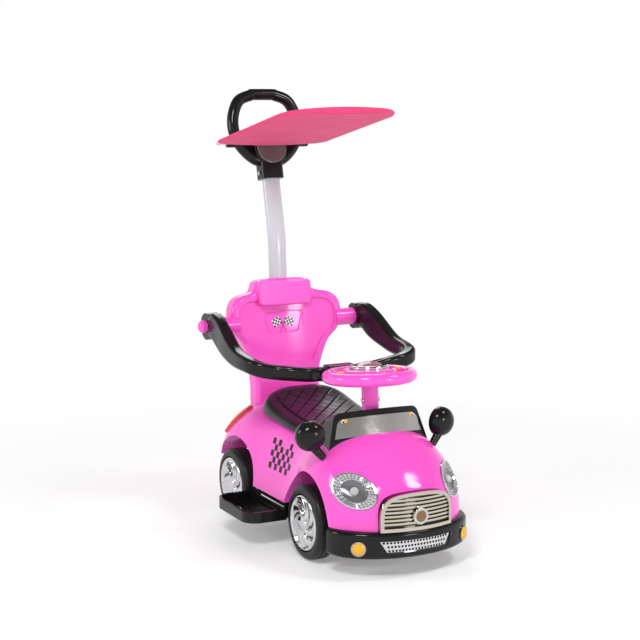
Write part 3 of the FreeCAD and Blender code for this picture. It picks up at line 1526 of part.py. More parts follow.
def main():
    os.makedirs("parts", exist_ok=True)
    skin, clear_skin = body_solid(0), body_solid(running_clearance)
    pole_hole = pole_solid(running_clearance)
    nodes = {
        "body_shell": body_shell(skin, pole_solid(slide_gap)),
        "chassis_base": chassis_base(pole_hole),
        "chassis_screws": chassis_screws(),
        "front_bumper": front_bumper(),
        "bumper_mesh": bumper_mesh(),
        "fog_bezels": fog_bezels(),
        "fog_lenses": fog_lenses(),
        "radiator_grille": radiator_grille(),
        "grille_badge": grille_badge(),
        "headlight_reflectors": headlight_reflectors(),
        "headlight_lenses": headlight_lenses(),
        "tail_lights": tail_lights(clear_skin),
        "windscreen_frame": windscreen_frame(clear_skin),
        "windscreen_pane": windscreen_pane(clear_skin),
        "side_mirrors": both_sides(mirror_housing(clear_skin)),
        "mirror_glasses": mirror_glasses(),
        "pivot_bolts": pivot_bolts(),
        "pivot_knobs": pivot_knobs(),
        "push_pole": push_pole(),
        "pole_bolt": pole_bolt(),
        "push_handle": handle_block(pole_hole),
        "handle_disc": handle_disc(),
        "canopy_clips": canopy_clips(),
        "rear_axle": rear_axle(),
        "rear_axle_caps": both_sides(at_wheel(axle_cap(), rear_axle_y, False)),
        "front_axle_beam": front_axle_beam(),
        "kingpins": kingpins(),
        "seat_hinge_pins": seat_hinge_pins(),
        "seat_lid": seat_lid(),
        "steering_wheel": steering_wheel(),
        "steering_cover": steering_cover(),
        "steering_column": steering_column(),
        "column_bolt": column_bolt(),
        "dash_bezel": dash_bezel(),
        "horn_dome": horn_dome(),
        "batteries": batteries(),
        "circuit_board": circuit_board(),
        "speaker": speaker(),
        "tie_rod": tie_rod(),
        "guard_clasp": guard_clasp(),
        "canopy_wire": canopy_wire(),
        "canopy_cover": canopy_cover(),
    }
    nodes["backrest_front"], nodes["backrest_rear"] = backrest(pole_hole)
    nodes["footboard_right"], nodes["footboard_left"] = footboards()
    sided = {
        "button": wheel_button(), "guard_arm": guard_arm(), "knuckle": knuckle(),
        "wheel_front": at_wheel(wheel(), front_axle_y, False),
        "wheel_rear": at_wheel(wheel(), rear_axle_y, False),
        "hubcap_front": at_wheel(hubcap(), front_axle_y, False),
        "hubcap_rear": at_wheel(hubcap(), rear_axle_y, False),
    }
    for name, shape in sided.items():
        nodes[name + "_left"] = shape
        nodes[name + "_right"] = mirrored(shape)
    for name, shape in nodes.items():
        shape.exportStep("parts/" + name + ".step")


if __name__ == "__main__":
    main()
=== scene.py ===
"""Looks of the push car: finishes, sewn canopy, quilted seat, lamps, hubcaps and printed checks."""

import json
from math import cos, exp, pi, radians, sin, sqrt

import bpy
from mathutils import Matrix, Vector
from mathutils.bvhtree import BVHTree


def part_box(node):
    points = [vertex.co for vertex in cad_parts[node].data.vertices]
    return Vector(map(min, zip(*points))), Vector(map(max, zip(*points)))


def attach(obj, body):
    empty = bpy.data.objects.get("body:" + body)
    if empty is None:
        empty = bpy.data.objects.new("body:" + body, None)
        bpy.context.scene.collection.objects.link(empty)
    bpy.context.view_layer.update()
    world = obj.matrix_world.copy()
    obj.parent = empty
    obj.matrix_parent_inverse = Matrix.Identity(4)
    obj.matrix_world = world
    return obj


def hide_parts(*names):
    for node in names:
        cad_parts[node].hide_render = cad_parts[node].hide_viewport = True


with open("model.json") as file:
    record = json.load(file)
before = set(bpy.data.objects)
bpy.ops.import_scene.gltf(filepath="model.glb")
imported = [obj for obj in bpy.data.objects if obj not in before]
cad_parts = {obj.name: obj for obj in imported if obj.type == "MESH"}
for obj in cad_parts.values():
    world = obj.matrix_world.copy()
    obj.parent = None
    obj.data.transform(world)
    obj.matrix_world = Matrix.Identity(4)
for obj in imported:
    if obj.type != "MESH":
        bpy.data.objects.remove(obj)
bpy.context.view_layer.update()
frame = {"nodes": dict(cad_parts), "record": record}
nodes = frame["nodes"]

# Lengths are in metres, in the frame of the part: +Z up, the nose towards -Y.
camera_place = Vector((-1.455, -2.793, 0.931))
camera_target = Vector((0.0, 0.036, 0.450))
camera_lens = 83.27
camera_sensor = 36.0
camera_shift = (-0.0088, 0.0064)

# Colours, as linear values.
pink = (0.98, 0.115, 0.64)
pink_deep = (0.94, 0.090, 0.55)
black = (0.006, 0.006, 0.0065)
black_soft = (0.012, 0.011, 0.012)
tyre_black = (0.010, 0.010, 0.0105)
silver = (0.58, 0.58, 0.60)
champagne = (0.56, 0.52, 0.44)
zinc = (0.45, 0.45, 0.47)
pole_grey = (0.47, 0.48, 0.53)
wire_white = (0.78, 0.78, 0.78)
raspberry = (0.80, 0.060, 0.205)
raspberry_deep = (0.70, 0.045, 0.165)
lamp_red = (0.75, 0.022, 0.014)
lamp_amber = (0.95, 0.47, 0.015)
lamp_yellow = (0.98, 0.60, 0.04)
bezel_gold = (0.34, 0.24, 0.12)
button_orange = (0.96, 0.36, 0.02)
clear_tint = (0.95, 0.97, 1.0)
pane_grey = (0.36, 0.34, 0.33)
disc_grey = (0.16, 0.15, 0.15)
bowl_grey = (0.055, 0.055, 0.06)
bowl_rim = (0.16, 0.16, 0.17)
horn_rose = (0.38, 0.07, 0.17)
badge_brown = (0.11, 0.055, 0.015)
badge_gold = (0.26, 0.14, 0.03)
board_green = (0.02, 0.14, 0.05)
cell_blue = (0.06, 0.13, 0.35)
check_white = (0.85, 0.85, 0.85)
floor_white = (0.90, 0.90, 0.90)
full_white = (1, 1, 1, 1)

# Finish values: noise scales and details, gloss ranges, grain strengths and fine bump heights.
plastic_cloud, plastic_gloss = (9.0, 3.0), (26.0, 4.0)
plastic_gloss_shares = (0.8, 1.2)
plastic_coat_rough = 0.03
plastic_grain_detail, plastic_grain_strength = 2.0, 0.35
metal_cloud, metal_gloss = (40.0, 3.0), (60.0, 5.0)
metal_gloss_shares = (0.6, 1.5)
metal_grain_detail, metal_grain_strength = 3.0, 0.3
cover_cloud, cover_flow = (30.0, 2.0), (120.0, 1.0)
cover_rough, cover_flow_strength, cover_flow_height = 0.04, 0.2, 0.00008
grille_gloss_range, grille_wave = (0.06, 0.13), (110.0, 2.0)
grille_wave_strength, grille_wave_height = 0.5, 0.0006
lens_cloud, lens_index = (60.0, 2.0), 1.49
prism_strength, prism_depth_share = 0.5, 1 / 8
dye_cloud = (14.0, 4.0)
cloth_rough, cloth_specular = 0.82, 0.25
cloth_sheen, cloth_sheen_rough = 0.10, 0.5
waves_per_turn, thread_wander = 6.28, 0.4
weave_strength, threads_per_depth = 0.5, 3
sharp_angle = radians(32.0)

# Canopy: the wire's plane leans back from the clips.
canopy_pivot = Vector((0.0, 0.331, 0.833))
canopy_rise = radians(11.0)
wire_rear_half = 0.132
wire_front_half = 0.130
wire_length = 0.402
cover_rear = 0.032
cover_edge = 0.0048
cover_corner = 0.0628
cover_crown = 0.010
cover_sag = 0.006
cover_lip = 0.0004
nose_fullness = 0.35
crease_height = 0.0016
crease_width_share = 0.063
crease_start_share = 0.15
cover_across = 40
cover_along = 48
edge_steps = 6
nose_steps = 5
piping_radius = 0.0011
piping_sides = 8
cover_length = wire_length + cover_edge - cover_rear

# Seat: the quilted middle of the lid.
quilt_pitch = 0.034
quilt_height = 0.0020
quilt_sink = 0.0010
quilt_margin = 0.024
quilt_grid = 0.0020
groove_share = 0.20
quilt_fade_rate = 3
room_ways = 8
room_steps = 3
room_parts = 2
rim_slope = 0.6

# Printed checks on the flanks, the backrest's plaque and the windscreen.
check_size = 0.0125
check_lift = 0.0003
check_columns = 9
check_rows = 5
check_front_y = -0.060
check_top_z = 0.208
check_slant = -0.15
check_first = 1
fade_column, fade_row, fade_cycle = 5, 3, 7
flag_cell = 0.0044
flag_columns = 5
flag_rows = 4
flag_tilt = radians(24.0)
flag_gap = 0.004
flag_pole = 0.026
poles_per_cell = 4
plaque_centre = Vector((0.0, 0.0, 0.428))
plaque_corners = ((-0.040, 0.404), (0.040, 0.404), (0.052, 0.452), (-0.052, 0.452))
plaque_round = 0.012
rim_steps = 6
rim_radius = 0.0012
strip_cell = 0.0032
strip_drop = 0.0045
strip_columns = 4
strip_rows = 2
strip_inset_cells = 3
block_cells = 2
block_tone = 2

# Headlights: an oval turned outward, raised and rolled.
headlight_place = Vector((0.111, -0.302, 0.171))
headlight_turn = radians(37.0)
headlight_rise = radians(22.0)
headlight_roll = radians(24.0)
headlight_long = 0.051
headlight_short = 0.034
lamp_rim_share = 0.95
lamp_ring_share = 0.60
lamp_well_share = 0.20
lamp_rim_depth = 0.0042
lamp_ring_depth = 0.0085
lamp_well_depth = 0.0135
stud_height = 0.0020
studs_around = 28
stud_rings = 3
bulb_radius = 0.0085
bulb_length = 0.0085
bulb_foot_share = 0.8
bulb_shoulder_share = 0.25
bulb_steps = 8
axis_gap = 0.00001
lamp_steps = 48

# Hubcaps: swept blades between a lip and a domed middle, as shares of the radius and heights.
hub_blades = 7
hub_sweep_share = 1.05
hub_blade_share = 0.60
hub_edge_share = 0.07
hub_middle_share = 0.30
hub_lip_share = 0.86
hub_rings = 26
hub_steps_per_blade = 22
hub_gap_height = 0.0012
hub_lip_height = 0.0075
hub_root_height = 0.0088
hub_tip_height = 0.0062
hub_fall = 0.0034
hub_dome_height = 0.0108
hub_lip_start_share = 0.25
hub_first_ring = 0.1
wheel_bodies = {
    "front_left": "wheel_fl", "front_right": "wheel_fr",
    "rear_left": "wheel_rl", "rear_right": "wheel_rr",
}

# The grille's face is part of an upright cylinder; the slats and the backing lie behind it, and the backing
# is painted dark as shade.
grille_bow = 0.230
grille_axis_y = -0.141
grille_slat_depth = 0.0046
grille_back_depth = 0.0058
# Painted shade: the colour of the recessed backing behind the grille's slats.
grille_painted_shade = (0.05, 0.045, 0.04)

# The badge in the grille.
badge_centre = Vector((0.0, -0.3749, 0.124))
badge_profile_shares = ((0.0, 1.0), (0.45, 0.95), (0.62, 0.5), (0.70, 0.8), (0.86, 0.8), (1.0, -0.4))
badge_radius = 0.0125
badge_rise = 0.0006
badge_first_share = 0.001

# Stage: a glowing floor that fades to white, a surround and lamps by place, target, size and power.
floor_half = 12.0
floor_rough = 0.75
floor_glow = 0.22
fade_start = 0.45
fade_end = 1.5
horizon_rise = 0.22
ceiling_rise = 0.55
ceiling_level = 0.18
car_middle = (0, 0, 0.4)
lamps = {
    "key": ((-1.3, -1.5, 2.3), car_middle, 0.7, 32),
    "hood": ((0.95, -0.85, 1.8), (0, -0.3, 0.2), 0.40, 9),
    "front": ((0.8, -2.4, 0.8), (0, 0.2, 0.4), 0.45, 10),
    "side": ((-2.2, 0.5, 1.2), car_middle, 0.6, 11),
    "rear": ((0.8, 2.2, 1.9), car_middle, 1.2, 16),
}


# Materials.
def new_material(name):
    material = bpy.data.materials.new(name)
    material.use_nodes = True
    tree = material.node_tree
    return material, tree, tree.nodes["Principled BSDF"]


def add(tree, kind, **sockets):
    node = tree.nodes.new(kind)
    for name, value in sockets.items():
        node.inputs[name.replace("_", " ")].default_value = value
    return node


def noise(tree, scale, detail):
    place = tree.nodes.new("ShaderNodeTexCoord")
    node = add(tree, "ShaderNodeTexNoise", Scale=scale, Detail=detail)
    tree.links.new(place.outputs["Object"], node.inputs["Vector"])
    return node.outputs["Fac"]


def spread(tree, value, low, high):
    node = add(tree, "ShaderNodeMapRange", To_Min=low, To_Max=high)
    tree.links.new(value, node.inputs["Value"])
    return node.outputs["Result"]


def two_tone(tree, value, first, second):
    node = tree.nodes.new("ShaderNodeMix")
    node.data_type = "RGBA"
    node.inputs[6].default_value = (*first, 1)
    node.inputs[7].default_value = (*second, 1)
    tree.links.new(value, node.inputs[0])
    return node.outputs[2]


def bump(tree, shader, value, strength, distance):
    node = add(tree, "ShaderNodeBump", Strength=strength, Distance=distance)
    tree.links.new(value, node.inputs["Height"])
    tree.links.new(node.outputs["Normal"], shader.inputs["Normal"])


def moulded(name, colour, other, rough, grain=700.0, grain_height=0.00004, coat=0.0, specular=0.5):
    """Moulded plastic: cloudy colour, uneven gloss and a fine moulding grain."""
    material, tree, shader = new_material(name)
    tree.links.new(two_tone(tree, noise(tree, *plastic_cloud), colour, other), shader.inputs["Base Color"])
    low, high = plastic_gloss_shares
    gloss = spread(tree, noise(tree, *plastic_gloss), rough * low, rough * high)
    tree.links.new(gloss, shader.inputs["Roughness"])
    shader.inputs["Specular IOR Level"].default_value = specular
    shader.inputs["Coat Weight"].default_value = coat
    shader.inputs["Coat Roughness"].default_value = plastic_coat_rough
    bump(tree, shader, noise(tree, grain, plastic_grain_detail), plastic_grain_strength, grain_height)
    return material


def metal(name, colour, other, rough, grain=900.0, grain_height=0.00003):
    """Bare or plated metal: faintly cloudy, with uneven gloss and a fine grain."""
    material, tree, shader = new_material(name)
    tree.links.new(two_tone(tree, noise(tree, *metal_cloud), colour, other), shader.inputs["Base Color"])
    shader.inputs["Metallic"].default_value = 1.0
    low, high = metal_gloss_shares
    gloss = spread(tree, noise(tree, *metal_gloss), rough * low, rough * high)
    tree.links.new(gloss, shader.inputs["Roughness"])
    bump(tree, shader, noise(tree, grain, metal_grain_detail), metal_grain_strength, grain_height)
    return material


def clear_cover(name, colour, alpha):
    """A thin clear cover: mostly see-through, with a glossy face and faint moulding flow."""
    material, tree, shader = new_material(name)
    tone = two_tone(tree, noise(tree, *cover_cloud), colour, check_white)
    tree.links.new(tone, shader.inputs["Base Color"])
    shader.inputs["Alpha"].default_value = alpha
    shader.inputs["Roughness"].default_value = cover_rough
    bump(tree, shader, noise(tree, *cover_flow), cover_flow_strength, cover_flow_height)
    return material


def grille_plating(name):
    """Plated slats over a backing painted dark as shade where it lies deeper than the slats."""
    material, tree, shader = new_material(name)
    place = tree.nodes.new("ShaderNodeTexCoord")
    flat = tree.nodes.new("ShaderNodeVectorMath")
    flat.operation = "MULTIPLY"
    flat.inputs[1].default_value = (1, 1, 0)
    reach = tree.nodes.new("ShaderNodeVectorMath")
    reach.operation = "DISTANCE"
    reach.inputs[1].default_value = (0, grille_axis_y, 0)
    slats, backing = grille_bow - grille_slat_depth, grille_bow - grille_back_depth
    recess_shade = add(tree, "ShaderNodeMapRange", From_Min=slats, From_Max=backing)
    tree.links.new(place.outputs["Object"], flat.inputs[0])
    tree.links.new(flat.outputs["Vector"], reach.inputs[0])
    tree.links.new(reach.outputs["Value"], recess_shade.inputs["Value"])
    # Painted shade: the plating turns dark with depth behind the slats, as the recess would be shaded.
    tone = two_tone(tree, recess_shade.outputs["Result"], champagne, grille_painted_shade)
    tree.links.new(tone, shader.inputs["Base Color"])
    shader.inputs["Metallic"].default_value = 1.0
    gloss = spread(tree, noise(tree, *metal_gloss), *grille_gloss_range)
    tree.links.new(gloss, shader.inputs["Roughness"])
    bump(tree, shader, noise(tree, *grille_wave), grille_wave_strength, grille_wave_height)
    return material


def lens(name, colour, other, see_through, rough, cell):
    """A moulded lamp lens with small prisms."""
    material, tree, shader = new_material(name)
    tree.links.new(two_tone(tree, noise(tree, *lens_cloud), colour, other), shader.inputs["Base Color"])
    shader.inputs["Transmission Weight"].default_value = see_through
    shader.inputs["Roughness"].default_value = rough
    shader.inputs["IOR"].default_value = lens_index
    place = tree.nodes.new("ShaderNodeTexCoord")
    prisms = add(tree, "ShaderNodeTexVoronoi", Scale=1 / cell)
    tree.links.new(place.outputs["Object"], prisms.inputs["Vector"])
    bump(tree, shader, prisms.outputs["Distance"], prism_strength, cell * prism_depth_share)
    return material


def woven(name, colour, other, thread):
    """Plain woven cloth: two crossed sets of threads, soft sheen and cloudy dye."""
    material, tree, shader = new_material(name)
    tree.links.new(two_tone(tree, noise(tree, *dye_cloud), colour, other), shader.inputs["Base Color"])
    shader.inputs["Roughness"].default_value = cloth_rough
    shader.inputs["Specular IOR Level"].default_value = cloth_specular
    shader.inputs["Sheen Weight"].default_value = cloth_sheen
    shader.inputs["Sheen Roughness"].default_value = cloth_sheen_rough
    place = tree.nodes.new("ShaderNodeTexCoord")
    threads = []
    for direction in ("X", "Y"):
        scale = 1 / thread / waves_per_turn
        wave = add(tree, "ShaderNodeTexWave", Scale=scale, Distortion=thread_wander)
        wave.bands_direction = direction
        tree.links.new(place.outputs["Object"], wave.inputs["Vector"])
        threads.append(wave.outputs["Fac"])
    both = tree.nodes.new("ShaderNodeMath")
    both.operation = "MAXIMUM"
    tree.links.new(threads[0], both.inputs[0])
    tree.links.new(threads[1], both.inputs[1])
    bump(tree, shader, both.outputs["Value"], weave_strength, thread / threads_per_depth)
    return material


def lifted(colour, share):
    return tuple(value + (1 - value) * share for value in colour)


finishes = {
    "pink": moulded("pink_plastic", pink, pink_deep, 0.14, coat=0.25, specular=0.35),
    "black": moulded("black_plastic", black, black_soft, 0.11, specular=0.25),
    "seat": moulded("seat_plastic", black, black_soft, 0.30, grain=420.0, grain_height=0.00010, specular=0.4),
    "tyre": moulded("tyre_plastic", tyre_black, black_soft, 0.42, 520.0, 0.00012, specular=0.3),
    "chrome": metal("plated_chrome", silver, lifted(silver, 0.2), 0.07),
    "champagne": metal("plated_champagne", champagne, silver, 0.09),
    "grille": grille_plating("grille_plating"),
    "bezel": metal("plated_bezel", bezel_gold, champagne, 0.14),
    "steel": metal("zinc_steel", zinc, silver, 0.30, grain=300.0, grain_height=0.00006),
    "pole": moulded("pole_paint", pole_grey, lifted(pole_grey, 0.2), 0.20, coat=0.2),
    "wire": moulded("wire_paint", wire_white, pole_grey, 0.30),
    "cloth": woven("canopy_cloth", raspberry, raspberry_deep, 0.0009),
    "piping": woven("canopy_piping", raspberry_deep, raspberry, 0.0006),
    "red": lens("red_lens", lamp_red, lifted(lamp_red, 0.06), 0.25, 0.12, 0.004),
    "amber": lens("amber_lens", lamp_amber, lamp_yellow, 0.20, 0.12, 0.003),
    "orange": moulded("orange_plastic", button_orange, lamp_amber, 0.25, coat=0.3),
    "clear": clear_cover("clear_cover", clear_tint, 0.06),
    "bulb": clear_cover("bulb_glass", check_white, 0.55),
    "bowl": metal("lamp_bowl", bowl_grey, bowl_rim, 0.16),
    "mirror": metal("silver_film", pane_grey, lifted(pane_grey, 0.15), 0.14),
    "grey": moulded("grey_plastic", disc_grey, black_soft, 0.14, coat=0.6),
    "rose": lens("horn_cover", horn_rose, lifted(horn_rose, 0.2), 0.15, 0.08, 0.012),
    "brown": moulded("badge_enamel", badge_brown, badge_gold, 0.20, coat=0.5),
    "board": moulded("board_lacquer", board_green, black_soft, 0.35),
    "cell": moulded("cell_sleeve", cell_blue, black_soft, 0.30),
    "check_dark": moulded("check_dark", black, black_soft, 0.30, specular=0.2),
    "check_light": moulded("check_light", check_white, silver, 0.30),
}
own_finish = {
    "radiator_grille": "grille", "grille_badge": "champagne", "horn_dome": "rose", "fog_bezels": "bezel",
    "bumper_mesh": "chrome", "mirror_glasses": "chrome",
}


def dress_nodes():
    for part in frame["record"]["subparts"]:
        piece = nodes[part["node"]]
        finish = own_finish.get(part["node"], part["material_slot"])
        piece.data.materials.clear()
        piece.data.materials.append(finishes[finish])
        piece.data.polygons.foreach_set("use_smooth", [True] * len(piece.data.polygons))
        piece.data.set_sharp_from_angle(angle=sharp_angle)


# New pieces.
def new_piece(name, points, faces, finish, body):
    mesh = bpy.data.meshes.new(name)
    mesh.from_pydata(points, [], faces)
    mesh.update()
    piece = bpy.data.objects.new(name, mesh)
    bpy.context.scene.collection.objects.link(piece)
    for key in finish if isinstance(finish, tuple) else (finish,):
        mesh.materials.append(finishes[key])
    mesh.polygons.foreach_set("use_smooth", [True] * len(mesh.polygons))
    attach(piece, body)
    return piece


def surface_of(*names):
    """What the named nodes show to a ray."""
    points, faces = [], []
    for name in names:
        mesh = nodes[name].data
        start = len(points)
        points += [vertex.co for vertex in mesh.vertices]
        faces += [[start + i for i in polygon.vertices] for polygon in mesh.polygons]
    return BVHTree.FromPolygons(points, faces)


def canopy_point(across, along, height):
    """A point in the canopy's own plane, put in the frame."""
    return canopy_pivot + Vector((
        across,
        height * sin(canopy_rise) - along * cos(canopy_rise),
        along * sin(canopy_rise) + height * cos(canopy_rise),
    ))


def round_off(reach, radius):
    """How far a quarter round of that radius stands back, at a distance from its end."""
    inside = radius - min(max(reach, 0), radius)
    return radius - sqrt(max(radius**2 - inside**2, 0))


def cover_rows():
    """Distance along the wire, half width, edge height and crown share of each row of the cover."""
    ends = [cover_length * (1 - i / cover_along) for i in range(cover_along)]
    ends = [max(end, cover_edge) for end in ends]
    ends += [cover_edge * (1 - sin(k * pi / 2 / nose_steps)) for k in range(nose_steps + 1)]
    rows = []
    for end in ends:
        along = cover_rear + cover_length - end
        wire_half = wire_rear_half + (wire_front_half - wire_rear_half) * along / wire_length
        edge = max(cover_edge - round_off(end, cover_edge), cover_lip)
        fullness = (nose_fullness + (1 - nose_fullness) * end / cover_length) * edge / cover_edge
        rows.append((along, wire_half - round_off(end, cover_corner), edge, fullness))
    return rows


# Creases in the cloth: where each starts and ends, as shares across and along, and how high it stands.
crease_shares = (
    (-1.0, 0.05, 0.2, 0.55, 1.0), (1.0, 0.05, -0.3, 0.60, 0.8), (-0.9, 0.9, 0.1, 0.45, 0.9),
    (0.9, 0.92, -0.1, 0.40, 0.9), (-0.5, 0.0, -0.35, 0.5, -0.7), (0.45, 0.0, 0.5, 0.55, -0.8),
    (0.0, 0.98, 0.05, 0.6, 0.7), (-0.95, 0.5, 0.9, 0.62, 0.8),
)


def crease(across, along):
    height = 0.0
    for start_x, start_y, end_x, end_y, rise in crease_shares:
        run_x, run_y = end_x - start_x, end_y - start_y
        length = run_x**2 + run_y**2
        part = min(max(((across - start_x) * run_x + (along - start_y) * run_y) / length, 0), 1)
        off = (across - start_x - part * run_x) ** 2 + (along - start_y - part * run_y) ** 2
        swell = sin(pi * (crease_start_share + (1 - crease_start_share) * part))
        height += rise * exp(-off / crease_width_share**2) * swell
    return height


def cover_section(along, half, edge, fullness):
    """One row of the sleeve: over the top, round one wire, back underneath and round the other."""
    share = (along - cover_rear) / cover_length
    points = []
    for k in range(cover_across + 1):
        across = -1 + 2 * k / cover_across
        fold = crease_height * crease(across, share) * (1 - across**4)
        rise = edge + fullness * (cover_crown * (1 - across**2) + fold)
        points.append(canopy_point(across * half, along, rise))
    for k in range(1, edge_steps):
        turn = pi / 2 - pi * k / edge_steps
        points.append(canopy_point(half + cover_edge * cos(turn), along, edge * sin(turn)))
    for k in range(cover_across + 1):
        across = 1 - 2 * k / cover_across
        fold = crease_height * crease(-across, share) * (1 - across**4)
        drop = edge + fullness * (cover_sag * (1 - across**2) + fold)
        points.append(canopy_point(across * half, along, -drop))
    for k in range(1, edge_steps):
        turn = 3 * pi / 2 - pi * k / edge_steps
        points.append(canopy_point(-half + cover_edge * cos(turn), along, edge * sin(turn)))
    return points


def canopy_cloth():
    """The sewn cover: one sheet that goes round the wire, over the top and back underneath."""
    rows = [cover_section(*row) for row in cover_rows()]
    ring = len(rows[0])
    points = [point for row in rows for point in row]
    faces = []
    for i in range(len(rows) - 1):
        low, high = i * ring, (i + 1) * ring
        for k in range(ring):
            after = (k + 1) % ring
            faces.append((low + k, low + after, high + after, high + k))
    last = (len(rows) - 1) * ring
    for k in range(cover_across):
        over, under = last + k, last + 2 * cover_across + edge_steps - k
        faces.append((over, over + 1, under - 1, under))
    cloth = new_piece("canopy_cloth", points, faces, "cloth", "canopy")
    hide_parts("canopy_cover")
    canopy_piping()


def canopy_piping():
    """A thin sewn cord along the rim of the cover."""
    right = [(half + cover_edge, along) for along, half, *_ in cover_rows()]
    path = [canopy_point(x, along, 0) for x, along in right]
    path += [canopy_point(-x, along, 0) for x, along in reversed(right)]
    piece = tube("canopy_piping", path, piping_radius, piping_sides, "piping", "canopy")
    return piece


def tube(name, path, radius, sides, finish, body):
    """A round tube along a path that bends mostly in one plane, closed at its ends."""
    up = Vector((0, sin(canopy_rise), cos(canopy_rise)))
    points, faces = [], []
    for i, place in enumerate(path):
        way = (path[min(i + 1, len(path) - 1)] - path[max(i - 1, 0)]).normalized()
        side = way.cross(up).normalized()
        for k in range(sides):
            turn = 2 * pi * k / sides
            points.append(place + side * (radius * cos(turn)) + side.cross(way) * (radius * sin(turn)))
    for i in range(len(path) - 1):
        for k in range(sides):
            low, after = i * sides, (k + 1) % sides
            faces.append((low + k, low + after, low + sides + after, low + sides + k))
    faces.append(tuple(reversed(range(sides))))
    faces.append(tuple(range(len(points) - sides, len(points))))
    return new_piece(name, points, faces, finish, body)


def seat_quilt():
    """Raised diamonds on the middle of the seat lid."""
    low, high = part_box("seat_lid")
    lid = surface_of("seat_lid")
    columns = int((high.x - low.x) / quilt_grid)
    rows = int((high.y - low.y) / quilt_grid)
    points, faces, index = [], [], {}
    for i in range(columns + 1):
        for j in range(rows + 1):
            x, y = low.x + i * quilt_grid, low.y + j * quilt_grid
            hit, normal, *_ = lid.ray_cast(Vector((x, y, high.z + quilt_margin)), Vector((0, 0, -1)))
            if hit is None:
                continue
            room = edge_room(lid, x, y, high.z + quilt_margin)
            if room <= 0:
                continue
            first, second = (x + y) / quilt_pitch, (x - y) / quilt_pitch
            puff = min(abs(sin(pi * first)) / groove_share, abs(sin(pi * second)) / groove_share, 1)
            puff = puff * (2 - puff)
            fade = min(room / quilt_pitch * quilt_fade_rate, 1)
            index[i, j] = len(points)
            points.append(hit + normal * (fade * puff * quilt_height - (1 - fade) * quilt_sink))
    for i, j in index:
        corners = [(i, j), (i + 1, j), (i + 1, j + 1), (i, j + 1)]
        if all(corner in index for corner in corners):
            faces.append([index[corner] for corner in corners])
    quilt = new_piece("seat_quilt", points, faces, "seat", "seat")


def edge_room(lid, x, y, top):
    """How far a spot of the lid lies inside its rim, in metres beyond the margin."""
    room = 1.0
    for k in range(room_ways):
        turn = 2 * pi * k / room_ways
        for step in range(1, room_steps + 1):
            reach = quilt_margin * step / room_parts
            spot = Vector((x + reach * cos(turn), y + reach * sin(turn), top))
            hit, normal, *_ = lid.ray_cast(spot, Vector((0, 0, -1)))
            if hit is None or normal.z < rim_slope:
                room = min(room, reach - quilt_margin)
                break
    return room


def laid_quads(name, surface, quads, way, tones, body):
    """Printed patches: each corner is sent along one way until it meets the surface."""
    points, faces, kept = [], [], []
    for quad, tone in zip(quads, tones):
        corners = []
        for corner in quad:
            hit, normal, *_ = surface.ray_cast(corner - way, way)
            if hit is not None:
                corners.append(hit - way * check_lift)
        if len(corners) == len(quad):
            faces.append([len(points) + n for n in range(len(quad))])
            points += corners
            kept.append(tone)
    print_piece = new_piece(name, points, faces, ("check_dark", "check_light", "orange"), body)
    print_piece.data.polygons.foreach_set("material_index", kept)


def flank_checks(side):
    """A slanted field of dark checks on one flank that breaks up towards the front."""
    quads = []
    for column in range(check_first, check_columns):
        for row in range(check_rows):
            fading = (column * fade_column + row * fade_row) % fade_cycle > column + 1
            if (column + row) % 2 or fading:
                continue
            quad = []
            for right, down in ((0, 0), (1, 0), (1, 1), (0, 1)):
                drop = (row + down) * check_size
                y = check_front_y + (column + right) * check_size + check_slant * drop
                quad.append(Vector((0, y, check_top_z - drop)))
            quads.append(quad)
    name = "flank_checks_left" if side > 0 else "flank_checks_right"
    laid_quads(name, surface_of("body_shell"), quads, Vector((-side, 0, 0)), [0] * len(quads), "car")


def plaque_flags():
    """Two crossed flags of plain checks on the backrest's plaque."""
    quads, tones = [], []

    def spot(side, along, up):
        x = along * cos(flag_tilt) + up * sin(flag_tilt)
        z = up * cos(flag_tilt) - along * sin(flag_tilt)
        return plaque_centre + Vector((side * (flag_gap + x), 0, z))

    for side in (-1, 1):
        for i in range(flag_columns):
            for j in range(flag_rows):
                low, high = i * flag_cell, (i + 1) * flag_cell
                foot, top = (j - 1) * flag_cell, j * flag_cell
                corners = ((low, foot), (high, foot), (high, top), (low, top))
                quads.append([spot(side, a, b) for a, b in corners])
                tones.append((i + j) % 2)
        thin = flag_cell / poles_per_cell
        foot, top = -flag_pole, flag_rows * flag_cell - flag_cell
        quads.append([spot(side, a, b) for a, b in ((-thin, foot), (0, foot), (0, top), (-thin, top))])
        tones.append(0)
    laid_quads("plaque_flags", surface_of("backrest_front"), quads, Vector((0, 1, 0)), tones, "car")


def plaque_rim():
    """A raised bead round the plaque's edge."""
    surface = surface_of("backrest_front")
    corners = [Vector((x, 0, z)) for x, z in plaque_corners]
    path = []
    for k, corner in enumerate(corners):
        before, after = corners[k - 1], corners[(k + 1) % len(corners)]
        start = corner + (before - corner).normalized() * plaque_round
        end = corner + (after - corner).normalized() * plaque_round
        for step in range(rim_steps + 1):
            part = step / rim_steps
            path.append(start * (1 - part) ** 2 + corner * (2 * part * (1 - part)) + end * part**2)
    halved = []
    for k, first in enumerate(path):
        halved += [first, (first + path[(k + 1) % len(path)]) / 2]
    laid, way = [], Vector((0, 1, 0))
    for spot in halved + halved[:1]:
        hit, *_ = surface.ray_cast(spot - way, way)
        laid.append(hit)
    bead = tube("plaque_rim", laid, rim_radius, piping_sides, "pink", "car")


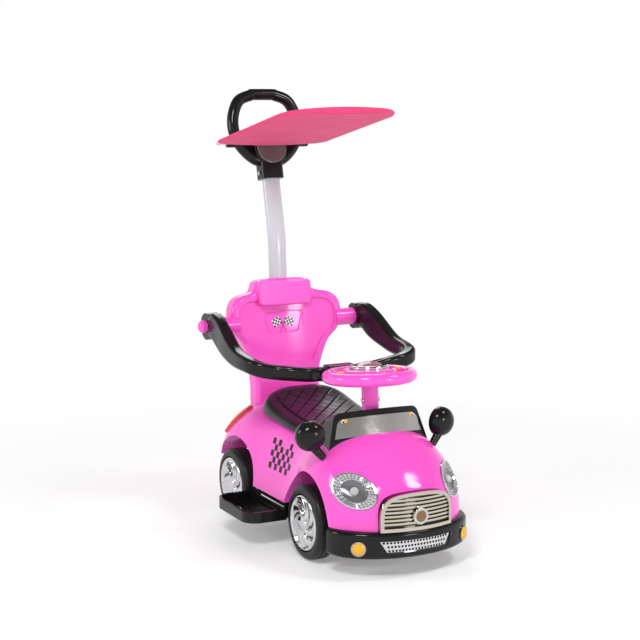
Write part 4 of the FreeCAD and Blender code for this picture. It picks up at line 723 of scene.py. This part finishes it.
def windscreen_print():
    """Small checks and an orange block at each end of the pane's upper edge."""
    low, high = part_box("windscreen_pane")
    quads, tones = [], []
    for side in (-1, 1):
        start = (high.x - low.x) / 2 - strip_cell * (strip_columns + strip_inset_cells)
        for i in range(strip_columns + 1):
            for j in range(strip_rows):
                wide = strip_cell * (block_cells if i == 0 else 1)
                x = start - block_cells * strip_cell if i == 0 else start + (i - 1) * strip_cell
                z = high.z - strip_drop - j * strip_cell
                corners = ((x, z - strip_cell), (x + wide, z - strip_cell), (x + wide, z), (x, z))
                quads.append([Vector((side * a, 0, b)) for a, b in corners])
                tones.append(block_tone if i == 0 else (i + j) % 2)
    laid_quads("windscreen_print", surface_of("windscreen_pane"), quads, Vector((0, 1, 0)), tones, "car")


# Headlights: a ring of small facets, a darker bowl and a bulb behind the clear cover.
def lamp_axes(side):
    turn = Matrix.Rotation(headlight_turn, 3, "Z") @ Matrix.Rotation(-headlight_rise, 3, "X")
    turn = turn @ Matrix.Rotation(-headlight_roll, 3, "Y")
    axes = [turn @ Vector(axis) for axis in ((1, 0, 0), (0, 0, 1), (0, -1, 0))]
    place = headlight_place.copy()
    for vector in axes + [place]:
        vector.x *= side
    return place, axes


def lamp_spot(cover, side, share, turn, depth):
    """A spot below the cover's outer face, at a share of the oval's reach."""
    place, (along, up, aim) = lamp_axes(side)
    spot = place + along * (headlight_long * share * cos(turn)) + up * (headlight_short * share * sin(turn))
    hit, *_ = cover.ray_cast(spot + aim * headlight_long, -aim)
    return (hit or spot) - aim * depth


def lamp_grid(cover, side, rings, around):
    """Rows of spots at the given shares and depths, all the way round."""
    rows = []
    for share, depth in rings:
        rows.append([lamp_spot(cover, side, share, 2 * pi * k / around, depth) for k in range(around)])
    return rows


def lamp_studs(cover, side):
    rings = []
    for i in range(stud_rings + 1):
        part = i / stud_rings
        share = lamp_rim_share + part * (lamp_ring_share - lamp_rim_share)
        rings.append((share, lamp_rim_depth + part * (lamp_ring_depth - lamp_rim_depth)))
    rows = lamp_grid(cover, side, rings, studs_around)
    aim = lamp_axes(side)[1][2]
    points, faces = [], []
    for i in range(stud_rings):
        for k in range(studs_around):
            after = (k + 1) % studs_around
            corners = [rows[i][k], rows[i][after], rows[i + 1][after], rows[i + 1][k]]
            peak = sum(corners, Vector()) / len(corners) + aim * stud_height
            start = len(points)
            points += corners + [peak]
            faces += [(start + n, start + (n + 1) % 4, start + 4) for n in range(4)]
    return points, faces


def lamp_bowl(cover, side):
    rings = []
    for i in range(stud_rings + 1):
        part = i / stud_rings
        share = lamp_ring_share + part * (lamp_well_share - lamp_ring_share)
        depth = lamp_ring_depth + sin(part * pi / 2) * (lamp_well_depth - lamp_ring_depth)
        rings.append((share, depth))
    rows = lamp_grid(cover, side, rings, lamp_steps)
    points = [point for row in rows for point in row]
    faces = []
    for i in range(stud_rings):
        for k in range(lamp_steps):
            low, after = i * lamp_steps, (k + 1) % lamp_steps
            faces.append((low + k, low + after, low + lamp_steps + after, low + lamp_steps + k))
    faces.append(tuple(range(stud_rings * lamp_steps, (stud_rings + 1) * lamp_steps)))
    return points, faces


def revolved(profile, centre, aim, steps):
    """A round form about an axis, from pairs of reach and height, the first on the axis or a rim."""
    side = aim.orthogonal().normalized()
    other = aim.cross(side)
    points, faces = [], []
    for reach, height in profile:
        for k in range(steps):
            turn = 2 * pi * k / steps
            points.append(centre + aim * height + (side * cos(turn) + other * sin(turn)) * reach)
    for i in range(len(profile) - 1):
        for k in range(steps):
            low, after = i * steps, (k + 1) % steps
            faces.append((low + k, low + after, low + steps + after, low + steps + k))
    return points, faces


def headlight_details():
    cover = surface_of("headlight_lenses")
    for side, end in ((1, "left"), (-1, "right")):
        studs = new_piece("headlight_studs_" + end, *lamp_studs(cover, side), "chrome", "car")
        studs.data.polygons.foreach_set("use_smooth", [False] * len(studs.data.polygons))
        bowl = new_piece("headlight_bowl_" + end, *lamp_bowl(cover, side), "bowl", "car")
        foot = lamp_spot(cover, side, 0, 0, lamp_well_depth)
        profile = [(bulb_radius * bulb_foot_share, 0.0)]
        for k in range(bulb_steps + 1):
            turn = k * pi / 2 / bulb_steps
            rise = bulb_shoulder_share + (1 - bulb_shoulder_share) * sin(turn)
            profile.append((bulb_radius * cos(turn) + axis_gap, bulb_length * rise))
        form = revolved(profile, foot, lamp_axes(side)[1][2], lamp_steps)
        bulb = new_piece("headlight_bulb_" + end, *form, "bulb", "car")


# Hubcaps.
def hubcap_height(share, turn):
    """Height above the wheel's web and whether the spot lies in a gap between two blades."""
    if share >= hub_lip_share:
        part = (share - hub_lip_share) / (1 - hub_lip_share)
        swell = sin(pi * (hub_lip_start_share + (1 - hub_lip_start_share) * part))
        return hub_lip_height * swell if part < 1 else 0.0, False
    if share <= hub_middle_share:
        return hub_dome_height - (hub_dome_height - hub_root_height) * (share / hub_middle_share) ** 2, False
    part = (share - hub_middle_share) / (hub_lip_share - hub_middle_share)
    top = hub_root_height + (hub_tip_height - hub_root_height) * part
    phase = (turn / (2 * pi) * hub_blades - hub_sweep_share * part) % 1
    if phase > hub_blade_share + hub_edge_share:
        return hub_gap_height, True
    blade = top - hub_fall * phase / hub_blade_share
    edge = min(phase, hub_blade_share + hub_edge_share - phase) / hub_edge_share
    return hub_gap_height + (blade - hub_gap_height) * min(edge, 1), False


def hubcap_face(end, body):
    """A plated cap with swept blades in the place of the plain one."""
    node = "hubcap_" + end
    low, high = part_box(node)
    side = 1 if low.x > 0 else -1
    root = low.x if side > 0 else high.x
    middle_y, middle_z, radius = (low.y + high.y) / 2, (low.z + high.z) / 2, (high.z - low.z) / 2
    steps = hub_blades * hub_steps_per_blade
    points, faces, tones, gaps = [], [], [], []
    for i in range(hub_rings + 1):
        share = max(i, hub_first_ring) / hub_rings
        for k in range(steps):
            turn = 2 * pi * k / steps
            height, gap = hubcap_height(share, turn)
            y, z = middle_y + radius * share * sin(turn), middle_z + radius * share * cos(turn)
            points.append((root + side * height, y, z))
            gaps.append(gap)
    for i in range(hub_rings):
        for k in range(steps):
            after = (k + 1) % steps
            face = (i * steps + k, i * steps + after, (i + 1) * steps + after, (i + 1) * steps + k)
            faces.append(face if side < 0 else face[::-1])
            tones.append(int(all(gaps[corner] for corner in face)))
    cap = new_piece("hubcap_face_" + end, points, faces, ("chrome", "tyre"), body)
    cap.data.polygons.foreach_set("material_index", tones)
    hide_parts(node)


def badge_face():
    """A plain enamelled roundel on the grille's badge."""
    profile = []
    for reach, rise in badge_profile_shares:
        profile.append((max(reach, badge_first_share) * badge_radius, rise * badge_rise))
    points, faces = revolved(profile, badge_centre, Vector((0, -1, 0)), lamp_steps)
    faces.append(tuple(range(lamp_steps)))
    new_piece("badge_face", points, faces, "brown", "car")


# Stage.
def area_light(name, place, target, size, power):
    data = bpy.data.lights.new(name, "AREA")
    data.size = size
    data.energy = power
    lamp = bpy.data.objects.new(name, data)
    lamp.location = place
    lamp.rotation_euler = (Vector(target) - Vector(place)).to_track_quat("-Z", "Y").to_euler()
    bpy.context.scene.collection.objects.link(lamp)


def build_camera():
    data = bpy.data.cameras.new("camera")
    data.lens = camera_lens
    data.sensor_width = camera_sensor
    data.shift_x, data.shift_y = camera_shift
    camera = bpy.data.objects.new("camera", data)
    camera.location = camera_place
    camera.rotation_euler = (camera_target - camera_place).to_track_quat("-Z", "Y").to_euler()
    bpy.context.scene.collection.objects.link(camera)
    bpy.context.scene.camera = camera


def build_floor():
    mesh = bpy.data.meshes.new("floor")
    corners = ((-1, -1), (1, -1), (1, 1), (-1, 1))
    mesh.from_pydata([(x * floor_half, y * floor_half, 0) for x, y in corners], [], [(0, 1, 2, 3)])
    floor = bpy.data.objects.new("floor", mesh)
    bpy.context.scene.collection.objects.link(floor)
    material, tree, shader = new_material("floor_paper")
    shader.inputs["Base Color"].default_value = (*floor_white, 1)
    shader.inputs["Roughness"].default_value = floor_rough
    shader.inputs["Emission Color"].default_value = full_white
    shader.inputs["Emission Strength"].default_value = floor_glow
    glow = add(tree, "ShaderNodeEmission", Color=full_white, Strength=1.0)
    place = tree.nodes.new("ShaderNodeNewGeometry")
    length = tree.nodes.new("ShaderNodeVectorMath")
    length.operation = "LENGTH"
    fade = add(tree, "ShaderNodeMapRange", From_Min=fade_start, From_Max=fade_end)
    mix = tree.nodes.new("ShaderNodeMixShader")
    tree.links.new(place.outputs["Position"], length.inputs[0])
    tree.links.new(length.outputs["Value"], fade.inputs["Value"])
    tree.links.new(fade.outputs["Result"], mix.inputs[0])
    tree.links.new(shader.outputs[0], mix.inputs[1])
    tree.links.new(glow.outputs[0], mix.inputs[2])
    tree.links.new(mix.outputs[0], tree.nodes["Material Output"].inputs["Surface"])
    mesh.materials.append(material)


def build_world():
    """A white surround behind the object that darkens towards the ceiling of the studio."""
    world = bpy.data.worlds.new("studio")
    bpy.context.scene.world = world
    world.use_nodes = True
    tree = world.node_tree
    background = tree.nodes["Background"]
    place = tree.nodes.new("ShaderNodeTexCoord")
    split = tree.nodes.new("ShaderNodeSeparateXYZ")
    fade = add(tree, "ShaderNodeMapRange", From_Min=horizon_rise, From_Max=ceiling_rise, To_Max=ceiling_level)
    fade.inputs["To Min"].default_value = 1.0
    tree.links.new(place.outputs["Generated"], split.inputs[0])
    tree.links.new(split.outputs["Z"], fade.inputs["Value"])
    tree.links.new(fade.outputs["Result"], background.inputs["Strength"])
    background.inputs["Color"].default_value = full_white


def build_stage():
    build_camera()
    build_floor()
    build_world()
    for name, values in lamps.items():
        area_light(name, *values)
    bpy.context.scene.view_settings.view_transform = "Standard"


build_stage()
dress_nodes()
canopy_cloth()
seat_quilt()
headlight_details()
for end, body in wheel_bodies.items():
    hubcap_face(end, body)
badge_face()
plaque_flags()
plaque_rim()
windscreen_print()
for side in (-1, 1):
    flank_checks(side)
